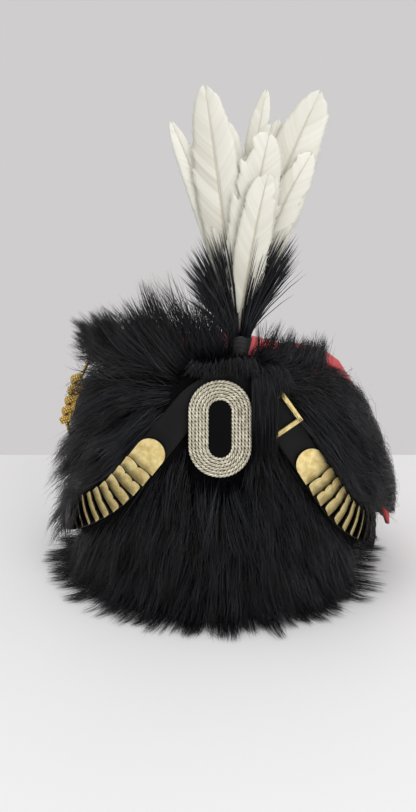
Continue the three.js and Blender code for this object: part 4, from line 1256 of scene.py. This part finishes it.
# The hair stands in two wedges, to the left and to the right, with a few loose strands.
strand_count = 760
wedge = chance.choice([-1, 1], strand_count)
spread = chance.random(strand_count)
loose = chance.random(strand_count) < 0.06
ring_angle = chance.uniform(0, 2 * np.pi, strand_count)
ring_radius = tuft_foot_radius * np.sqrt(chance.random(strand_count))
foot_side = mix(np.abs(ring_radius * np.cos(ring_angle)), tuft_foot_radius * spread, 0.7)
foot_depth = ring_radius * np.sin(ring_angle)
foot = np.stack(
    [plume_x + wedge * foot_side, plume_y + foot_depth, np.full(strand_count, float(tuft_foot))],
    axis=1,
)
tip_side = wedge * (7 + 29 * spread) * np.where(loose, 1.2, 1) + chance.normal(0, 1.5, strand_count)
tip_depth = 1.6 * foot_depth + chance.normal(0, 3, strand_count)
fall_off = np.where(wedge < 0, 22 * spread**3, 5 * spread**2)
tip_rise = tuft_rise - fall_off + chance.normal(0, 4.5, strand_count) - np.where(loose, 9, 0)
tip_rise *= np.where(chance.random(strand_count) < 0.4, chance.uniform(0.6, 1, strand_count), 1)
top = np.stack([plume_x + tip_side, plume_y + tip_depth, tuft_foot + tip_rise], axis=1)
lead = foot + np.stack([0.24 * tip_side, 0.3 * tip_depth, 0.5 * tip_rise], axis=1)
share = np.array([0, 0.25, 0.5, 0.78, 1.0])[None, :, None]
strands = bowed(foot[:, None], lead[:, None], top[:, None], share)
strands[..., 0] += chance.normal(0, 1.2, (strand_count, 1)) * share[..., 0] ** 2
strand_radii = chance.uniform(0.3, 0.52, strand_count)[:, None] * np.array([[1, 1, 0.9, 0.65, 0]])
# The tuft shares the fur's colour: random tone, with paler strands as painted highlight streaks.
tuft = spikes(
    "plume_hair_tuft",
    strands,
    strand_radii,
    np.tile(front, (strand_count, 1)),
    tone=np.clip(0.4 + chance.normal(0, 0.3, strand_count), 0, 1),
)
tuft.data.materials.append(fur_hair)
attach(tuft, "root")
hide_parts("plume_hair")

# Waxed black thread wound round the neck, over the bound stem.
thread, tree = new_material("waxed_black_thread")
place = add_node(tree, "ShaderNodeTexCoord")
fuzz = add_node(
    tree, "ShaderNodeTexNoise", None, {"Scale": 2200, "Detail": 2}, {"Vector": place.outputs["Object"]}
)
shade = add_node(tree, "ShaderNodeValToRGB", None, None, {"Fac": fuzz.outputs["Fac"]})
shade.color_ramp.elements[0].color = linear("#0a0a0b")
shade.color_ramp.elements[1].color = linear("#1d1d1f")
relief = add_node(
    tree, "ShaderNodeBump", None, {"Strength": 0.4, "Distance": 0.0002}, {"Height": fuzz.outputs["Fac"]}
)
shader = add_node(
    tree,
    "ShaderNodeBsdfPrincipled",
    None,
    {"Roughness": 0.5},
    {"Base Color": shade.outputs["Color"], "Normal": relief.outputs["Normal"]},
)
add_node(tree, "ShaderNodeOutputMaterial", None, None, {"Surface": shader.outputs["BSDF"]})
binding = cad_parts["plume_binding"]
binding.data.materials.clear()
binding.data.materials.append(thread)
turn = np.linspace(0, 2 * np.pi * wrap_turns, wrap_turns * wrap_steps)
coil_height = np.interp(turn, [0, turn[-1]], [171.5, 187.6])
coil_radius = np.interp(coil_height, [170, 173, 182, 186, 188], [2.6, 4.6, 7.2, 8, 7]) + 0.25
coil = np.stack(
    [plume_x + coil_radius * np.cos(turn), plume_y + coil_radius * np.sin(turn), coil_height], axis=1
)
wraps = tubes("plume_thread_wraps", [coil], 0.42, 6, np.array([0, 0, 1.0]), False)
wraps.data.materials.append(thread)
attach(wraps, "root")


# Side plait: a plait of three strands, each of three gold wire cords, on the fur at the viewer's
# left. A doubled cord holds it up to the top rim, and another goes down into the fur.
plait_angle = -91
plait_length, plait_swing, plait_depth, plait_turns = 40, 6.6, 2.4, 1.5
plait_cord_radius, plait_cord_apart = 1.2, 1.75
plait_low, plait_high = skin(plait_angle, 104.0, 36.0), skin(plait_angle, 143.0, 26.0)
plait_way = (plait_low - plait_high) / np.linalg.norm(plait_low - plait_high)
plait_out = skin(plait_angle, 104.0, 37.0) - plait_low
plait_out = plait_out - plait_way * plait_out.dot(plait_way)
plait_out /= np.linalg.norm(plait_out)
plait_side = np.cross(plait_way, plait_out)
plait_side = mix(plait_side, plait_out, 0.62)
plait_side /= np.linalg.norm(plait_side)
plait_out = np.cross(plait_side, plait_way)
plait_middle = (plait_low + plait_high) / 2
share = np.linspace(0, 1, 64)
cords = []
for strand in range(3):
    turn = 2 * np.pi * (plait_turns * share + strand / 3)
    line = (
        plait_middle
        + plait_way * (plait_length * (share - 0.5))[:, None]
        + plait_side * (plait_swing * np.sin(turn))[:, None]
        + plait_out * (plait_depth * np.sin(2 * turn))[:, None]
    )
    way = np.gradient(line, axis=0)
    way /= np.linalg.norm(way, axis=1, keepdims=True)
    sideways = np.cross(way, plait_out)
    sideways /= np.linalg.norm(sideways, axis=1, keepdims=True)
    for place in (-1, 0, 1):
        cords.append(line + sideways * (plait_cord_apart * place) + plait_out * (0.5 - 0.5 * abs(place)))


def curve_through(points, count):
    """Points on a smooth curve through a few given ones."""
    points = np.asarray(points, float)
    lead = np.vstack([2 * points[0] - points[1], points, 2 * points[-1] - points[-2]])
    place = np.linspace(0, len(points) - 1, count)
    cell = np.minimum(place.astype(int), len(points) - 2)
    t = (place - cell)[:, None]
    a, b, c, d = lead[cell], lead[cell + 1], lead[cell + 2], lead[cell + 3]
    return 0.5 * (2 * b + (c - a) * t + (2 * a - 5 * b + 4 * c - d) * t**2 + (3 * b - a - 3 * c + d) * t**3)


cord_up = [(-91, 143, 26), (-90, 156, 20), (-88, 170, 9), (-86, 175, 1)]
cord_down = [(-91, 104, 36), (-95, 92, 34), (-101, 82, 26), (-106, 78, 20)]
for route in (cord_up, cord_down):
    line = curve_through([skin(angle, height, out) for angle, height, out in route], 40)
    for place in (-1, 1):
        cords.append(line + np.array([0, 1.15 * place, 0]))
plait = tubes("gold_side_plait", cords, plait_cord_radius, 8, plait_out, False)

# Gilt wire wound on a cord: bright yellow gold with the fine ridges of the winding, and painted shade that
# darkens the grooves between the turns.
gilt, tree = new_material("gilt_wire_cord")
along = add_node(tree, "ShaderNodeAttribute", {"attribute_name": "along"})
cosine = add_node(tree, "ShaderNodeAttribute", {"attribute_name": "around_cos"})
sine = add_node(tree, "ShaderNodeAttribute", {"attribute_name": "around_sin"})
turn = add_node(tree, "ShaderNodeMath", {"operation": "MULTIPLY"}, {1: 3.2}, {0: along.outputs["Fac"]})
turn_cos = add_node(tree, "ShaderNodeMath", {"operation": "COSINE"}, None, {0: turn.outputs["Value"]})
turn_sin = add_node(tree, "ShaderNodeMath", {"operation": "SINE"}, None, {0: turn.outputs["Value"]})
first = add_node(
    tree,
    "ShaderNodeMath",
    {"operation": "MULTIPLY"},
    None,
    {0: turn_cos.outputs["Value"], 1: cosine.outputs["Fac"]},
)
winding_ridge_and_groove_shade = add_node(
    tree,
    "ShaderNodeMath",
    {"operation": "MULTIPLY_ADD"},
    None,
    {0: turn_sin.outputs["Value"], 1: sine.outputs["Fac"], 2: first.outputs["Value"]},
)
# The colour follows the winding: painted shade in the grooves, full gold on the crests.
shade = add_node(tree, "ShaderNodeValToRGB", None, None, {"Fac": winding_ridge_and_groove_shade.outputs["Value"]})
shade.color_ramp.elements[0].color = linear("#b48e3a")
shade.color_ramp.elements[1].color = linear("#f8dc86")
relief = add_node(
    tree, "ShaderNodeBump", None, {"Strength": 0.7, "Distance": 0.0003}, {"Height": winding_ridge_and_groove_shade.outputs["Value"]}
)
shader = add_node(
    tree,
    "ShaderNodeBsdfPrincipled",
    None,
    {"Metallic": 0.7, "Roughness": 0.36},
    {"Base Color": shade.outputs["Color"], "Normal": relief.outputs["Normal"]},
)
add_node(tree, "ShaderNodeOutputMaterial", None, None, {"Surface": shader.outputs["BSDF"]})
plait.data.materials.append(gilt)
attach(plait, "root")
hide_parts("side_plait")


# Table and light: a white table top that ends behind the hat, before a pale wall, in the even
# light of a bright room.
table_top, tree = new_material("matt_white_laminate")
place = add_node(tree, "ShaderNodeTexCoord")
smudges = add_node(
    tree, "ShaderNodeTexNoise", None, {"Scale": 3, "Detail": 4}, {"Vector": place.outputs["Object"]}
)
shade = add_node(tree, "ShaderNodeValToRGB", None, None, {"Fac": smudges.outputs["Fac"]})
shade.color_ramp.elements[0].color = linear("#e6e6e7")
shade.color_ramp.elements[1].color = linear("#ececed")
shader = add_node(
    tree, "ShaderNodeBsdfPrincipled", None, {"Roughness": 0.55}, {"Base Color": shade.outputs["Color"]}
)
add_node(tree, "ShaderNodeOutputMaterial", None, None, {"Surface": shader.outputs["BSDF"]})
bpy.ops.mesh.primitive_plane_add(size=2, location=(0, 0, 0))
floor = bpy.context.object
floor.name = "table_top"
for vertex in floor.data.vertices:
    vertex.co = Vector((2.0 * vertex.co.x, 0.3 if vertex.co.y > 0 else -2.0, 0))
floor.data.materials.append(table_top)
bpy.ops.object.select_all(action="DESELECT")

world = bpy.data.worlds.new("pale_wall")
bpy.context.scene.world = world
world.use_nodes = True
world.node_tree.nodes["Background"].inputs["Color"].default_value = linear("#cfcdcd")
world.node_tree.nodes["Background"].inputs["Strength"].default_value = 1.0

for name, spot, aim, size, power in [
    ("ceiling_panel", (-0.3, -0.5, 1.7), (0, 0, 0.1), 1.6, 13),
    ("front_window", (0.9, -1.5, 0.9), (0, 0, 0.15), 1.0, 13),
]:
    bpy.ops.object.light_add(type="AREA", location=spot)
    lamp = bpy.context.object
    lamp.name = name
    lamp.data.size = size
    lamp.data.energy = power
    lamp.rotation_euler = (Vector(aim) - Vector(spot)).to_track_quat("-Z", "Y").to_euler()

bpy.context.scene.view_settings.view_transform = "Standard"
